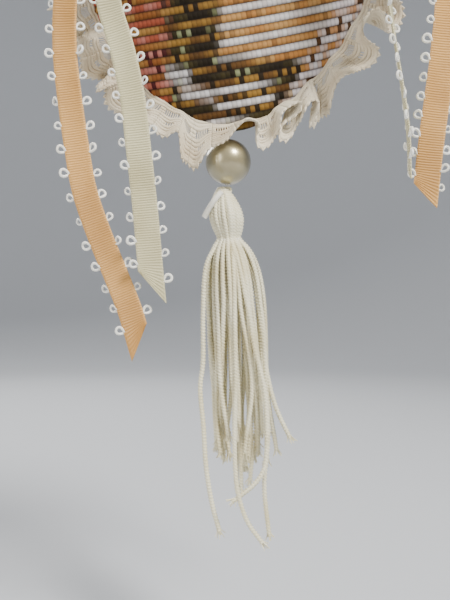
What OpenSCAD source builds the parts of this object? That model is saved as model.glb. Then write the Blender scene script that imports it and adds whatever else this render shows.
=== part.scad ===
// A padded tapestry heart that hangs from a cord loop, with a gathered lace edge, a double
// ribbon bow whose four ends trail down, and a pearl bead and cord tassel at its point.
// Millimetres, +Z up, the front faces -Y. The origin is the inside of the top of the hanging
// loop, where a hook or branch carries the ornament.

/* [Heart] */
// Half of the heart's width at its widest
heart_half_w = 34; // [28:1:40]
// Height of the heart from its point to the top of its lobes
heart_h = 70; // [60:1:80]
// Depth of the notch between the lobes
notch_d = 11; // [8:1:14]
// How far each face bulges from the seam
puff = 14; // [8:1:18]
// Thickness of the tapestry cloth
cloth_t = 0.8; // [0.5:0.1:1.2]

/* [Lace] */
// Width of the lace beyond the seam
lace_w = 9.5; // [6:0.5:12]
// Length of seam that one ruffle takes
ruffle_pitch = 7; // [5:0.5:10]
// How far a ruffle leans to either side, in degrees
ruffle_lean = 28; // [10:1:34]

/* [Hanging loop] */
// Height of the loop from the hook to the knot
loop_h = 62; // [45:1:80]
// Diameter of the twisted cord
cord_d = 1.5; // [1:0.1:2]
// Inside radius of the top of the loop
loop_r = 7; // [5:0.5:9]

/* [Ribbon] */
// Width of the ribbon without its picots
ribbon_w = 5; // [4:0.5:7]
// Thickness of the ribbon
ribbon_t = 0.4; // [0.3:0.1:0.6]

/* [Pearl and tassel] */
// Diameter of the pearl bead
pearl_d = 10; // [8:0.5:12]
// Diameter of the bead's hole
pearl_hole_d = 1.2; // [1:0.1:1.6]
// Length of the tassel's head
head_l = 9.6; // [7:0.1:12]
// Length of the tassel's skirt below the tie
skirt_l = 66; // [50:1:80]

/* [Hidden] */
$fn = 48;

// Colours of the stuffs
tapestry = [0.52, 0.36, 0.22];
ivory = [0.90, 0.86, 0.74];
peach = [0.87, 0.69, 0.46];
cream = [0.80, 0.77, 0.64];
pearl = [0.80, 0.76, 0.64];
thread = [0.93, 0.91, 0.84];
wadding = [0.96, 0.96, 0.95];

// Heights above the heart's point are turned into the frame by adding tip_z
knot_r = 1.7;
knot_above_notch = 7.5;
tip_z = -loop_h - 0.5 - knot_above_notch - (heart_h - notch_d);
notch_h = heart_h - notch_d;
knot_h = notch_h + knot_above_notch;
seam_gap = 0.6;
lace_t = 0.5;
gap = 0.3;

// The seam line of the right half, from the point round the lobe to the notch, as [x, height]
function bezier(p, t) =
    pow(1 - t, 3) * p[0] + 3 * pow(1 - t, 2) * t * p[1] + 3 * (1 - t) * t * t * p[2] + pow(t, 3) * p[3];
wide_h = heart_h * 0.715;
lobe_x = heart_half_w * 0.515;
side_curve = [[0, 0], [heart_half_w * 0.41, 0], [heart_half_w, heart_h * 0.4], [heart_half_w, wide_h]];
lobe_curve = [
    [heart_half_w, wide_h], [heart_half_w, wide_h + 11.5], [lobe_x + 10, heart_h], [lobe_x, heart_h]
];
notch_curve = [[lobe_x, heart_h], [lobe_x - 9, heart_h], [1.5, notch_h + 6], [0, notch_h]];
function half_seam(a, b, c) = concat(
    [for (i = [0:a - 1]) bezier(side_curve, i / a)],
    [for (i = [0:b - 1]) bezier(lobe_curve, i / b)],
    [for (i = [0:c]) bezier(notch_curve, i / c)]
);
// The whole seam, round from the point up the right side, over the notch and down the left
function mirrored(p) = [-p[0], p[1]];
function whole_seam(half) = concat(half, [for (i = [len(half) - 2:-1:1]) mirrored(half[i])]);
seam = whole_seam(half_seam(20, 9, 7));
centre = [0, 40];

// Height of the bulge at share s of the way from the middle to the seam
function bulge(s) = pow(max(0, 1 - pow(s, 2.2)), 0.62);
rings = 8;
function ring_share(k) = sin(90 * k / rings);
// One ring of a dome: the seam drawn in by inset, shrunk to share s, and raised by depth
function dome_ring(s, inset, depth, side) = [
    for (p = seam)
        let (
            reach = norm(p - centre),
            q = centre + (p - centre) * s * (reach - inset) / reach
        )
        [q[0], side * (seam_gap + depth * bulge(s)), tip_z + q[1]]
];
function dome_points(inset, depth, side) = concat(
    [[centre[0], side * (seam_gap + depth), tip_z + centre[1]]],
    [for (k = [1:rings]) for (p = dome_ring(ring_share(k), inset, depth, side)) p]
);
// Triangles of one dome whose points begin at first, turned over when flip is true
function turned(f, flip) = flip ? [f[2], f[1], f[0]] : f;
function dome_faces(first, flip) = let (n = len(seam)) [
    for (i = [0:n - 1]) let (j = (i + 1) % n) turned([first, first + 1 + j, first + 1 + i], flip),
    for (k = [0:rings - 2], i = [0:n - 1])
        let (
            j = (i + 1) % n,
            a = first + 1 + k * n + i,
            b = first + 1 + k * n + j
        )
        each [turned([a, b, b + n], flip), turned([a, b + n, a + n], flip)]
];
// Triangles that join the last rings of two domes
function rim_faces(first, second, flip) = let (n = len(seam), last = 1 + (rings - 1) * n) [
    for (i = [0:n - 1])
        let (
            j = (i + 1) % n,
            a = first + last + i,
            b = first + last + j,
            c = second + last + i,
            d = second + last + j
        )
        each [turned([a, b, d], flip), turned([a, d, c], flip)]
];

// A cloth shell: an outer dome, an inner dome and the rim between them. side is -1 for the front
module cloth_shell(side) {
    outer = dome_points(0, puff, side);
    inner = dome_points(cloth_t, puff - cloth_t, side);
    flip = side > 0;
    polyhedron(
        concat(outer, inner),
        concat(
            dome_faces(0, flip), dome_faces(len(outer), !flip), rim_faces(0, len(outer), flip)
        ),
        convexity = 6
    );
}
module front_panel() {
    color(tapestry) cloth_shell(-1);
}
module back_panel() {
    color(tapestry) cloth_shell(1);
}
// The wadding fills both shells, clear of the seam that holds the lace
stuffing_inset = 3;
module stuffing() {
    front = dome_points(stuffing_inset, puff - cloth_t - gap, -1);
    back = dome_points(stuffing_inset, puff - cloth_t - gap, 1);
    color(wadding)
        polyhedron(
            concat(front, back),
            concat(dome_faces(0, false), dome_faces(len(front), true), rim_faces(0, len(front), false)),
            convexity = 6
        );
}

// The lace runs from one side of the notch down round the point and up to the other side
fine_half = half_seam(64, 30, 22);
lace_end_x = 8;
lace_half = [for (p = fine_half) if (p[0] > lace_end_x || p[1] < wide_h) p];
lace_line = concat([for (i = [len(lace_half) - 1:-1:1]) mirrored(lace_half[i])], lace_half);
lace_n = len(lace_line);
function running_total(list, i = 0, sum = 0) =
    i >= len(list) ? [] : concat([sum + list[i]], running_total(list, i + 1, sum + list[i]));
lace_steps = [for (i = [0:lace_n - 1]) i == 0 ? 0 : norm(lace_line[i] - lace_line[i - 1])];
lace_along = running_total(lace_steps);
lace_mid = lace_along[lace_n - 1] / 2;
function unit(v) = v / norm(v);
function lace_normal(i) =
    let (d = unit(lace_line[min(i + 1, lace_n - 1)] - lace_line[max(i - 1, 0)])) [d[1], -d[0]];
// Near the point the lace leans back, so that it clears the pearl
clear_back = 72;
clear_reach = 7.5;
function lean(i) =
    let (s = lace_along[i] - lace_mid, hold = exp(-pow(s / clear_reach, 4)))
    clear_back * hold + (1 - hold) * ruffle_lean * sin(360 * s / ruffle_pitch);
function lace_point(i, v) =
    let (n = lace_normal(i), p = lace_line[i], across = v * (v > 0 ? cos(lean(i)) : 1))
    [p[0] + n[0] * across, v > 0 ? v * sin(lean(i)) : 0, tip_z + p[1] + n[1] * across];
// The lace narrows into the notch, clear of the hanging cord as it swings
narrow_x = 5;
function lace_reach(i) =
    let (p = lace_line[i])
    lace_w * (p[1] < wide_h ? 1 : min(1, (abs(p[0]) - narrow_x) / (lobe_x - narrow_x)));
lace_rows = [-1.8, 0, 0.5, 1];
function lace_row(i, j) = lace_point(i, j == 0 ? lace_rows[0] : lace_rows[j] * lace_reach(i));
function lace_face(i, j) =
    let (
        along = lace_row(min(i + 1, lace_n - 1), j) - lace_row(max(i - 1, 0), j),
        out = lace_row(i, min(j + 1, 3)) - lace_row(i, max(j - 1, 0))
    )
    unit(cross(along, out));
module lace_ruffle() {
    cols = lace_n;
    rows = len(lace_rows);
    skin = cols * rows;
    points = [
        for (side = [1, -1], i = [0:cols - 1], j = [0:rows - 1])
            lace_row(i, j) + side * lace_t / 2 * lace_face(i, j)
    ];
    quads = [
        for (i = [0:cols - 2], j = [0:rows - 2]) let (a = i * rows + j)
            each [
                [a, a + 1, a + rows + 1, a + rows],
                [skin + a, skin + a + rows, skin + a + rows + 1, skin + a + 1]
            ],
        for (i = [0:cols - 2], j = [0, rows - 1]) let (a = i * rows + j)
            j == 0 ? [a, a + rows, skin + a + rows, skin + a] : [a, skin + a, skin + a + rows, a + rows],
        for (i = [0, cols - 1], j = [0:rows - 2]) let (a = i * rows + j)
            i == 0 ? [a, skin + a, skin + a + 1, a + 1] : [a, a + 1, skin + a + 1, skin + a]
    ];
    color(ivory)
        polyhedron(
            points,
            [for (q = quads) each [[q[0], q[1], q[2]], [q[0], q[2], q[3]]]],
            convexity = 10
        );
}

// A rod of radius r between two points
module rod(a, b, r) {
    d = b - a;
    translate(a)
        rotate([0, acos(d[2] / norm(d)), atan2(d[1], d[0])])
            cylinder(r = r, h = norm(d), $fn = 16);
}
// The thread that gathers the lace shows as running stitches on the front of its heading
gather_inset = 1.1;
gather_r = 0.13;
gather_share = 0.65;
module gathering_thread() {
    step = 6;
    line = [
        for (i = [step:step:lace_n - 1 - step])
            let (n = lace_normal(i), p = lace_line[i] - n * gather_inset)
            [p[0], -seam_gap + gather_r + 0.03, tip_z + p[1]]
    ];
    color(thread)
        for (i = [0:len(line) - 2])
            rod(line[i], line[i] + gather_share * (line[i + 1] - line[i]), gather_r);
}
// Slanting stitches that closed the back after stuffing
stitch_n = 8;
stitch_r = 0.2;
module closing_stitches() {
    first = round(lace_n * 0.68);
    color(thread)
        for (k = [0:stitch_n - 1]) {
            i = first + 3 * k;
            n = lace_normal(i);
            p = lace_line[i];
            inner = p - n * 1.6;
            outer = lace_line[i + 1] + n * 0.9;
            rod([inner[0], 5.4, tip_z + inner[1]], [outer[0], 2.2, tip_z + outer[1]], stitch_r);
        }
}

// The two ends of the hanging cord, sewn into the seam under the knot
module hanger_tails() {
    top_h = knot_h - knot_r - gap;
    color(ivory)
        for (x = [-1, 1])
            rod([x * 0.8, 0, tip_z + notch_h - 3], [x * 0.45, 0, tip_z + top_h], 0.55);
}

// A ribbon loop seen from above: a teardrop strip, extruded by the ribbon's width
function drop(t, l, d) = [l * (1 - cos(t)) / 2, d / 2 * sin(t) * pow(sin(t / 2), 0.8)];
module ribbon_loop(l, d) {
    steps = 28;
    start = 26;
    angles = [for (i = [0:steps]) start + (360 - 2 * start) * i / steps];
    outer = [for (t = angles) drop(t, l, d)];
    inner = [
        for (t = angles)
            let (u = unit(drop(t + 2, l, d) - drop(t - 2, l, d))) drop(t, l, d) - ribbon_t * [u[1], -u[0]]
    ];
    translate([0, 0, -ribbon_w / 2])
        linear_extrude(ribbon_w)
            polygon(concat(outer, [for (i = [steps:-1:0]) inner[i]]));
}
bow = [0, -14.5, tip_z + 61];
// rise lifts the loop above level, and forward turns it towards the front
module bow_loop(side, l, d, rise, forward) {
    translate(bow)
        mirror([side < 0 ? 1 : 0, 0, 0])
            rotate([0, -rise, 0])
                rotate([0, 0, -forward])
                    translate([0.6, 0, 0])
                        ribbon_loop(l, d);
}
module peach_loop_left() {
    color(peach) bow_loop(-1, 21, 8, 14, 2);
}
module peach_loop_right() {
    color(peach) bow_loop(1, 21, 8, 14, 2);
}
module cream_loop_left() {
    color(cream) bow_loop(-1, 17, 7, 50, 4);
}
module cream_loop_right() {
    color(cream) bow_loop(1, 17, 7, 50, 4);
}
// The wrap that ties both ribbons into one bow
bow_knot_r = 2.7;
bow_knot_h = 5.2;
module bow_knot() {
    round_r = 1;
    color(cream)
        translate(bow)
            rotate_extrude()
                intersection() {
                    translate([0, -bow_knot_h]) square([bow_knot_r, 2 * bow_knot_h]);
                    union() {
                        translate([0, -bow_knot_h / 2 + round_r])
                            square([bow_knot_r, bow_knot_h - 2 * round_r]);
                        translate([0, -bow_knot_h / 2]) square([bow_knot_r - round_r, bow_knot_h]);
                        for (z = [-1, 1])
                            translate([bow_knot_r - round_r, z * (bow_knot_h / 2 - round_r)])
                                circle(round_r);
                    }
                }
}
// Thread bars that sew the bow to the seam at the notch
module bow_stitches() {
    color(thread)
        for (x = [-0.9, 0.9])
            rod([x, bow[1] + bow_knot_r - 0.2, bow[2] - 1], [x * 1.6, -1.2, tip_z + notch_h + 1], 0.25);
}

// The knot and stub of the pendant's thread inside the point of the heart
module pendant_anchor() {
    color(thread) {
        translate([0, 0, tip_z + 0.1]) cylinder(r = 0.4, h = 4);
        translate([0, 0, tip_z + 4.6]) sphere(1.1);
    }
}

// The hanging loop: a half ring at the top and two legs that meet above the knot
leg_x = 0.95;
module hanger_cord() {
    path_r = loop_r + cord_d / 2;
    leg_z = tip_z + knot_h + knot_r + gap;
    drop_h = -loop_r - leg_z;
    reach = norm([leg_x, drop_h]);
    slope = asin(path_r / reach) - atan(leg_x / drop_h);
    leg_l = sqrt(reach * reach - path_r * path_r);
    color(ivory)
        translate([0, 0, -loop_r]) {
            rotate([90, 0, 0])
                rotate([0, 0, -slope])
                    rotate_extrude(angle = 180 + 2 * slope)
                        translate([path_r, 0]) circle(cord_d / 2);
            for (side = [0, 1])
                mirror([side, 0, 0])
                    translate([path_r * cos(slope), 0, -path_r * sin(slope)])
                        rotate([0, 180 + slope, 0])
                            cylinder(d = cord_d, h = leg_l);
        }
}
module hanger_knot() {
    color(ivory)
        translate([0, 0, tip_z + knot_h]) sphere(knot_r);
}

// Routes of the ribbon ends: x, y, height above the heart's point, and the way the face looks,
// where 0 is to the front and 90 is to the right
peach_left_route = [
    [-4.4, -16.4, 56.6, 0], [-8, -18.2, 53.6, 0], [-14, -19, 50, 0], [-21, -19, 45.6, 0],
    [-27, -18, 40, -4], [-31, -16, 32, -8], [-32.5, -14.5, 23, -10], [-32.7, -14, 13, -8],
    [-31.8, -14, 3, -3], [-30.5, -14, -6, 0], [-28.8, -14, -15, 2], [-25.8, -14, -24, 2],
    [-22.6, -14, -32, 0], [-19.8, -14, -39, 0], [-17.8, -14, -45.5, 0]
];
cream_left_route = [
    [-3, -18.7, 57.2, 0], [-5.5, -20.5, 53, 0], [-10.5, -21.5, 48.5, 0], [-16, -21, 43, 0],
    [-20.5, -19.5, 36.5, -4], [-23.4, -17.5, 29.5, -6], [-23.6, -16, 22, -8], [-21.2, -15.5, 13, -5],
    [-19, -15.5, 3, -3], [-17.8, -15.5, -7, 0], [-16.8, -15.5, -17, 4], [-15.8, -15.5, -27, 6],
    [-15.1, -15.5, -34.5, 6]
];
cream_right_route = [
    [3, -18.7, 57.2, 0], [6, -20.5, 53.5, 0], [11.5, -21.5, 49.5, 5], [18, -20.5, 45.5, 14],
    [24, -19, 40.5, 26], [28.2, -17.5, 34.5, 42], [30.4, -17, 28, 58], [31.5, -17, 21.5, 68],
    [32.8, -17, 13, 74], [34, -17, 5, 78], [35.2, -17, -4, 80], [35.5, -17, -12, 80]
];
peach_right_route = [
    [4.4, -16.4, 56, 0], [9, -18.4, 54, 0], [16, -19.6, 52.6, 0], [24.5, -20, 50.6, 0],
    [32, -19.5, 47, 4], [38, -18.5, 40.5, 6], [41.8, -17.5, 32.5, 4], [43, -17, 22.5, 0],
    [42.2, -17, 12.5, -3], [40.9, -17, 2.5, -4], [39.6, -17, -7.5, -4], [38.6, -17, -16.5, -4]
];
// A smooth curve through a route, with cuts spans between neighbouring points
cuts = 2;
function blend_at(a, b, c, d, t) =
    0.5 * (2 * b + (c - a) * t + (2 * a - 5 * b + 4 * c - d) * t * t + (3 * b - a - 3 * c + d) * t * t * t);
function smooth_route(r) = let (n = len(r)) [
    for (i = [0:n - 2], k = [0:cuts - 1])
        blend_at(r[max(i - 1, 0)], r[i], r[i + 1], r[min(i + 2, n - 1)], k / cuts),
    r[n - 1]
];
// A flat strip along a route. slant is how much further the edge on side +1 or -1 reaches at its cut end
module ribbon_strip(route, slant) {
    line = smooth_route(route);
    n = len(line);
    spot = [for (p = line) [p[0], p[1], tip_z + p[2]]];
    along = [for (i = [0:n - 1]) unit(spot[min(i + 1, n - 1)] - spot[max(i - 1, 0)])];
    face = [for (p = line) [sin(p[3]), -cos(p[3]), 0]];
    across = [for (i = [0:n - 1]) unit(cross(along[i], face[i]))];
    out = [for (i = [0:n - 1]) unit(cross(across[i], along[i]))];
    corners = [[1, 1], [1, -1], [-1, -1], [-1, 1]];
    points = [
        for (i = [0:n - 1], c = corners)
            spot[i] + across[i] * c[0] * ribbon_w / 2 + out[i] * c[1] * ribbon_t / 2
                + (i == n - 1 ? along[i] * (c[0] * slant / 2) : [0, 0, 0])
    ];
    polyhedron(
        points,
        concat(
            [[0, 1, 2], [0, 2, 3]],
            [
                for (i = [0:n - 2], k = [0:3])
                    let (a = 4 * i + k, b = 4 * i + (k + 1) % 4)
                    each [[a, a + 4, b + 4], [a, b + 4, b]]
            ],
            [[4 * n - 2, 4 * n - 3, 4 * n - 4], [4 * n - 1, 4 * n - 2, 4 * n - 4]]
        ),
        convexity = 6
    );
}
module peach_tail_left() {
    color(peach) ribbon_strip(peach_left_route, 7);
}
module cream_tail_left() {
    color(cream) ribbon_strip(cream_left_route, -7);
}
module cream_tail_right() {
    color(cream) ribbon_strip(cream_right_route, 3);
}
module peach_tail_right() {
    color(peach) ribbon_strip(peach_right_route, -4);
}

// The pearl hangs close under the point, and the thread runs through it to the tassel's eye
pearl_top_h = -1.7;
pearl_h = pearl_top_h - pearl_d / 2;
pearl_foot_h = pearl_top_h - pearl_d;
module pendant_thread() {
    top_h = -0.3;
    color(thread)
        translate([0, 0, tip_z + pearl_foot_h - 0.1]) cylinder(r = 0.4, h = top_h - pearl_foot_h + 0.1);
}
module pearl_bead() {
    color(pearl)
        translate([0, 0, tip_z + pearl_h])
            difference() {
                sphere(d = pearl_d);
                cylinder(d = pearl_hole_d, h = pearl_d + 2, center = true);
            }
}
// The eye is the small cord ring at the top of the tassel
eye_r = 0.9;
eye_cord_r = 0.35;
eye_h = pearl_foot_h - 0.3 - eye_r;
module tassel_eye() {
    color(ivory)
        translate([0, 0, tip_z + eye_h])
            rotate([90, 0, 0])
                rotate_extrude()
                    translate([eye_r - eye_cord_r, 0]) circle(eye_cord_r);
}
// Head, tie and skirt are turned shapes of the bundled cords
head_top_h = eye_h - eye_r - 0.2;
neck_h = head_top_h - head_l;
neck_r = 2.9;
head_bulge = 3.9;
module tassel_head() {
    steps = 14;
    color(ivory)
        translate([0, 0, tip_z + neck_h])
            rotate_extrude()
                polygon(concat(
                    [[0, 0]],
                    [
                        for (i = [0:steps])
                            let (t = i / steps)
                            [
                                neck_r * (1 - t) + 1 * t + (head_bulge - neck_r + 1.2) * sin(180 * pow(t, 0.8)),
                                head_l * t
                            ]
                    ],
                    [[0, head_l]]
                ));
}
// The tie is a few tight turns of thread round the neck
tie_r = 0.3;
module tassel_tie() {
    color(thread)
        translate([0, 0, tip_z + neck_h - tie_r])
            for (k = [0:2])
                translate([0, 0, -2 * tie_r * k])
                    rotate_extrude()
                        translate([neck_r - tie_r, 0]) circle(tie_r - 0.01, $fn = 24);
}
// The cut end of the tie cord, tucked out of the left of the head
module tie_end() {
    color(thread)
        rod([-4.1, -0.6, tip_z + neck_h + 7.4], [-4.9, -0.6, tip_z + neck_h + 4.4], 0.4);
}
skirt_top_h = neck_h - 6 * tie_r - 0.05;
module tassel_skirt() {
    r_top = 2.4;
    r_full = 7.6;
    steps = 16;
    full_share = 0.3;
    color(ivory)
        translate([0, 0, tip_z + skirt_top_h])
            mirror([0, 0, 1])
                rotate_extrude()
                    polygon(concat(
                        [[0, 0]],
                        [
                            for (i = [0:steps])
                                let (t = i / steps, open = min(1, t / full_share))
                                [r_top + (r_full - r_top) * sin(90 * open) + 1.6 * t * t, skirt_l * t]
                        ],
                        [[0, skirt_l]]
                    ));
}

front_panel();
back_panel();
stuffing();
lace_ruffle();
gathering_thread();
closing_stitches();
hanger_tails();
bow_knot();
bow_stitches();
peach_loop_left();
peach_loop_right();
cream_loop_left();
cream_loop_right();
pendant_anchor();
hanger_cord();
hanger_knot();
peach_tail_left();
cream_tail_left();
cream_tail_right();
peach_tail_right();
pendant_thread();
pearl_bead();
tassel_eye();
tassel_head();
tassel_tie();
tie_end();
tassel_skirt();
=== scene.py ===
# %% [markdown]
# # A padded tapestry heart to hang up
# The ornament is a stuffed heart with a gathered lace edge. A double bow with looped-edge ribbon
# is sewn to its top, and a pearl bead and a cord tassel hang from its point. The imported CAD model
# is the frame: it says where each piece is, and how it moves.

# %% Load the frame
import math
import random
import bmesh
import bpy
import numpy as np
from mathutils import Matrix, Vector, geometry, noise


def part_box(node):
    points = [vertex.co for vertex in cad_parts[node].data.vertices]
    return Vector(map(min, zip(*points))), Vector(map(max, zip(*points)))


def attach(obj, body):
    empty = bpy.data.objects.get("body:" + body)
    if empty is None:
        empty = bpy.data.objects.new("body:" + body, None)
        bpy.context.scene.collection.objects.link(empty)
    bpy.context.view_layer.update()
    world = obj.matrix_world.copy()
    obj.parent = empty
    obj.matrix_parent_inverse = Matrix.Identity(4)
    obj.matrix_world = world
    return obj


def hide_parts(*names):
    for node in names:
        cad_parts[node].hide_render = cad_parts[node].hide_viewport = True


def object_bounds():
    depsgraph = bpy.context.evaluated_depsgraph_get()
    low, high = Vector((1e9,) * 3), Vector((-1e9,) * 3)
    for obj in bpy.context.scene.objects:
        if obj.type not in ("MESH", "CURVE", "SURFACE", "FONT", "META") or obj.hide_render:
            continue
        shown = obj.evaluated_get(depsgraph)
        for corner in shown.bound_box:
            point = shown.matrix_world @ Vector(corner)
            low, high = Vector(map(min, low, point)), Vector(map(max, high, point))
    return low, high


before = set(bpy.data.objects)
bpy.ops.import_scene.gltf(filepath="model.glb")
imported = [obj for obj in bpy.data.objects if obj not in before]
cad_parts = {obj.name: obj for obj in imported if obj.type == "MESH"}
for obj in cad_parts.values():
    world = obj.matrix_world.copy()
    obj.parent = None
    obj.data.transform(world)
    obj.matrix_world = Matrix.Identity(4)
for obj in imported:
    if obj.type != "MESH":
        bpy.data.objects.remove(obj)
cad_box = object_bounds()
MM = 0.001
point_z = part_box("front_panel")[0].z


def place(x, y, h):
    """A spot given in millimetres, with h measured up from the heart's point."""
    return Vector((x * MM, y * MM, point_z + h * MM))


def in_frame(points):
    """Points in millimetres from the heart's point, as metres in the shared frame."""
    return points * MM + np.array([0, 0, point_z])


def linked(name, data):
    """A new object that holds this data, in the scene."""
    made = bpy.data.objects.new(name, data)
    bpy.context.scene.collection.objects.link(made)
    return made


def meshed(name, points, faces):
    """A new mesh object of these faces, with its points in metres."""
    mesh = bpy.data.meshes.new(name)
    mesh.from_pydata(np.asarray(points).tolist(), [], faces)
    return linked(name, mesh)


# %% [markdown]
# The camera looks straight at the front from arm's length, level with the tassel's neck, so the
# lower half of the heart, the ribbon ends and the tassel fill the picture.

# %% Camera
camera = linked("camera", bpy.data.cameras.new("camera"))
camera.location = place(-0.7, -160, -37)
camera.rotation_euler = (math.radians(90), 0, 0)
camera.data.lens = 43.7
camera.data.sensor_width = 36
camera.data.clip_start = 0.005
bpy.context.scene.camera = camera
print("camera at", [round(c, 4) for c in camera.location])

# %% [markdown]
# Materials and repeated shapes are both node graphs. Written out as calls they are hard to read,
# so one small class wraps a socket and lets a sum be written as a sum, and another adds any node
# from its type, its settings and what its inputs are fed.

# %% Nodes written as Python
class Socket:
    """An output of a node. Sums, products and powers of it add Math nodes."""

    def __init__(self, graph, socket):
        self.graph, self.socket = graph, socket

    def also(self, name):
        return Socket(self.graph, self.socket.node.outputs[name])

    def math(self, operation, *values):
        fed = dict(enumerate(values))
        return self.graph.node("ShaderNodeMath", {"operation": operation}, fed)

    def __add__(self, other): return self.math("ADD", self, other)
    def __radd__(self, other): return self.math("ADD", other, self)
    def __sub__(self, other): return self.math("SUBTRACT", self, other)
    def __rsub__(self, other): return self.math("SUBTRACT", other, self)
    def __mul__(self, other): return self.math("MULTIPLY", self, other)
    def __rmul__(self, other): return self.math("MULTIPLY", other, self)
    def __truediv__(self, other): return self.math("DIVIDE", self, other)
    def __pow__(self, other): return self.math("POWER", self, other)
    def floor(self): return self.math("FLOOR", self)
    def part(self): return self.math("FRACT", self)
    def size(self): return self.math("ABSOLUTE", self)
    def sin(self): return self.math("SINE", self)
    def cos(self): return self.math("COSINE", self)
    def least(self, other): return self.math("MINIMUM", self, other)
    def above(self, other): return self.math("GREATER_THAN", self, other)


class Graph:
    """A node tree that is built by calls, for a material or for Geometry Nodes."""

    def __init__(self, tree):
        self.tree = tree

    def node(self, kind, settings=None, values=None, output=0):
        made = self.tree.nodes.new(kind)
        for key, value in (settings or {}).items():
            if key == "stops":
                ramp = made.color_ramp.elements
                while len(ramp) < len(value):
                    ramp.new(0.5)
                for stop, (at, colour) in zip(ramp, value):
                    stop.position, stop.color = at, (*colour, 1)
            else:
                setattr(made, key, value)
        for key, value in (values or {}).items():
            if isinstance(value, Socket):
                self.tree.links.new(value.socket, made.inputs[key])
            else:
                made.inputs[key].default_value = value
        return Socket(self, made.outputs[output]) if made.outputs else made

    def mix(self, share, a, b):
        a, b = ((*c, 1) if isinstance(c, tuple) else c for c in (a, b))
        return self.node("ShaderNodeMix", {"data_type": "RGBA"}, {0: share, 6: a, 7: b}, output=2)

    def step(self, value, low, high):
        """0 below low and 1 above high, with a soft change between."""
        settings = {"interpolation_type": "SMOOTHSTEP"}
        return self.node("ShaderNodeMapRange", settings, {0: value, 1: low, 2: high})

    def attribute(self, name):
        return self.node("ShaderNodeAttribute", {"attribute_name": name}, output="Fac")

    def noise(self, vector, scale, detail=2.0):
        fed = {"Vector": vector, "Scale": scale, "Detail": detail}
        return self.node("ShaderNodeTexNoise", {}, fed)

    def named(self, name, kind="FLOAT"):
        """What a mesh holds for each point under this name."""
        return self.node("GeometryNodeInputNamedAttribute", {"data_type": kind}, {"Name": name})

    def kept(self, geometry, name, value):
        """The same geometry, with a value for each point held under this name."""
        settings = {"data_type": "FLOAT", "domain": "POINT"}
        fed = {"Geometry": geometry, "Name": name, "Value": value}
        return self.node("GeometryNodeStoreNamedAttribute", settings, fed)


def shader(name, **constants):
    """A new material with one Principled shader, and the graph that feeds it."""
    material = bpy.data.materials.new(name)
    material.use_nodes = True
    principled = material.node_tree.nodes["Principled BSDF"]
    for key, value in constants.items():
        principled.inputs[key.replace("_", " ")].default_value = value
    graph = Graph(material.node_tree)
    graph.material = material
    graph.spot = graph.node("ShaderNodeTexCoord", output="Object")

    def feed(**links):
        for key, fed in links.items():
            target = principled.inputs[key.replace("_", " ")]
            material.node_tree.links.new(fed.socket, target)

    def bump(height, distance, strength=1.0):
        fed = {"Height": height, "Distance": distance, "Strength": strength}
        feed(Normal=graph.node("ShaderNodeBump", {}, fed))

    graph.feed, graph.bump = feed, bump
    return graph


def group(name, **inputs):
    """The graph of a new node group that makes geometry, and the node that holds its inputs."""
    tree = bpy.data.node_groups.new(name, "GeometryNodeTree")
    tree.interface.new_socket("Geometry", in_out="OUTPUT", socket_type="NodeSocketGeometry")
    for kind, labels in inputs.items():
        for label in labels:
            tree.interface.new_socket(label, in_out="INPUT", socket_type="NodeSocket" + kind)
    g = Graph(tree)
    return g, g.node("NodeGroupInput")


def grouped(g, given, geometry):
    """Ends a group with its geometry in the finish that it was given."""
    done = g.node("GeometryNodeSetMaterial", {}, {
        "Geometry": geometry, "Material": given.also("Finish")})
    g.node("NodeGroupOutput", {}, {"Geometry": done})
    return g.tree


print("node helpers ready")

# %% [markdown]
# Every thread and cord here is spun or plaited, so each shows small bumps that run along it. The
# bumps follow a rule, so Geometry Nodes make them: a line is turned into a tube, and each point
# of the tube moves in or out by a wave. A spun cord's wave winds round it. A knitted cord's wave
# turns back at the middle, which gives a column of little chevrons.

# %% The cord maker
def cord_tree():
    g, given = group("cord_from_line", Geometry=["Line"],
                     Float=["Radius", "Step", "Stitch length", "Relief", "Plies", "Knitted"],
                     Int=["Sides"], Material=["Finish"])
    resampled = g.node("GeometryNodeResampleCurve", {"mode": "LENGTH"},
                       {"Curve": given.also("Line"), "Length": given.also("Step")})
    line = g.kept(resampled, "along", g.node("GeometryNodeSplineParameter", output="Length"))
    circle = g.node("GeometryNodeCurvePrimitiveCircle", {}, {
        "Resolution": given.also("Sides"), "Radius": given.also("Radius")})
    rim = g.kept(circle, "around", g.node("GeometryNodeSplineParameter", output="Factor"))
    tube = g.node("GeometryNodeCurveToMesh", {}, {
        "Curve": line, "Profile Curve": rim, "Fill Caps": True})
    reach, angle = g.named("along"), g.named("around")
    folded = (angle - 0.5).size()
    knitted = given.also("Knitted")
    turned = folded * knitted + angle * (1 - knitted)
    wave = ((turned * given.also("Plies") + reach / given.also("Stitch length")) * math.tau).cos()
    offset = (wave - 1) * 0.5 * given.also("Relief")
    normal = g.node("GeometryNodeInputNormal")
    pushed = g.node("ShaderNodeVectorMath", {"operation": "SCALE"}, {0: normal, "Scale": offset})
    moved = g.node("GeometryNodeSetPosition", {}, {"Geometry": tube, "Offset": pushed})
    shaded = g.node("GeometryNodeSetShadeSmooth", {}, {"Geometry": moved})
    return grouped(g, given, g.node("GeometryNodeRealizeInstances", {}, {"Geometry": shaded}))


CORD_MAKER = cord_tree()


def grown(holder, name, tree, inputs):
    """Runs a node tree on an object, and keeps what it makes as a plain mesh."""
    modifier = holder.modifiers.new("maker", "NODES")
    modifier.node_group = tree
    sockets = {s.name: s.identifier for s in tree.interface.items_tree if s.in_out == "INPUT"}
    for key, value in inputs.items():
        modifier[sockets[key]] = value
    bpy.context.view_layer.update()
    evaluated = holder.evaluated_get(bpy.context.evaluated_depsgraph_get())
    mesh = bpy.data.meshes.new_from_object(evaluated)
    bpy.data.objects.remove(holder)
    mesh.name = name
    return linked(name, mesh)


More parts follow.
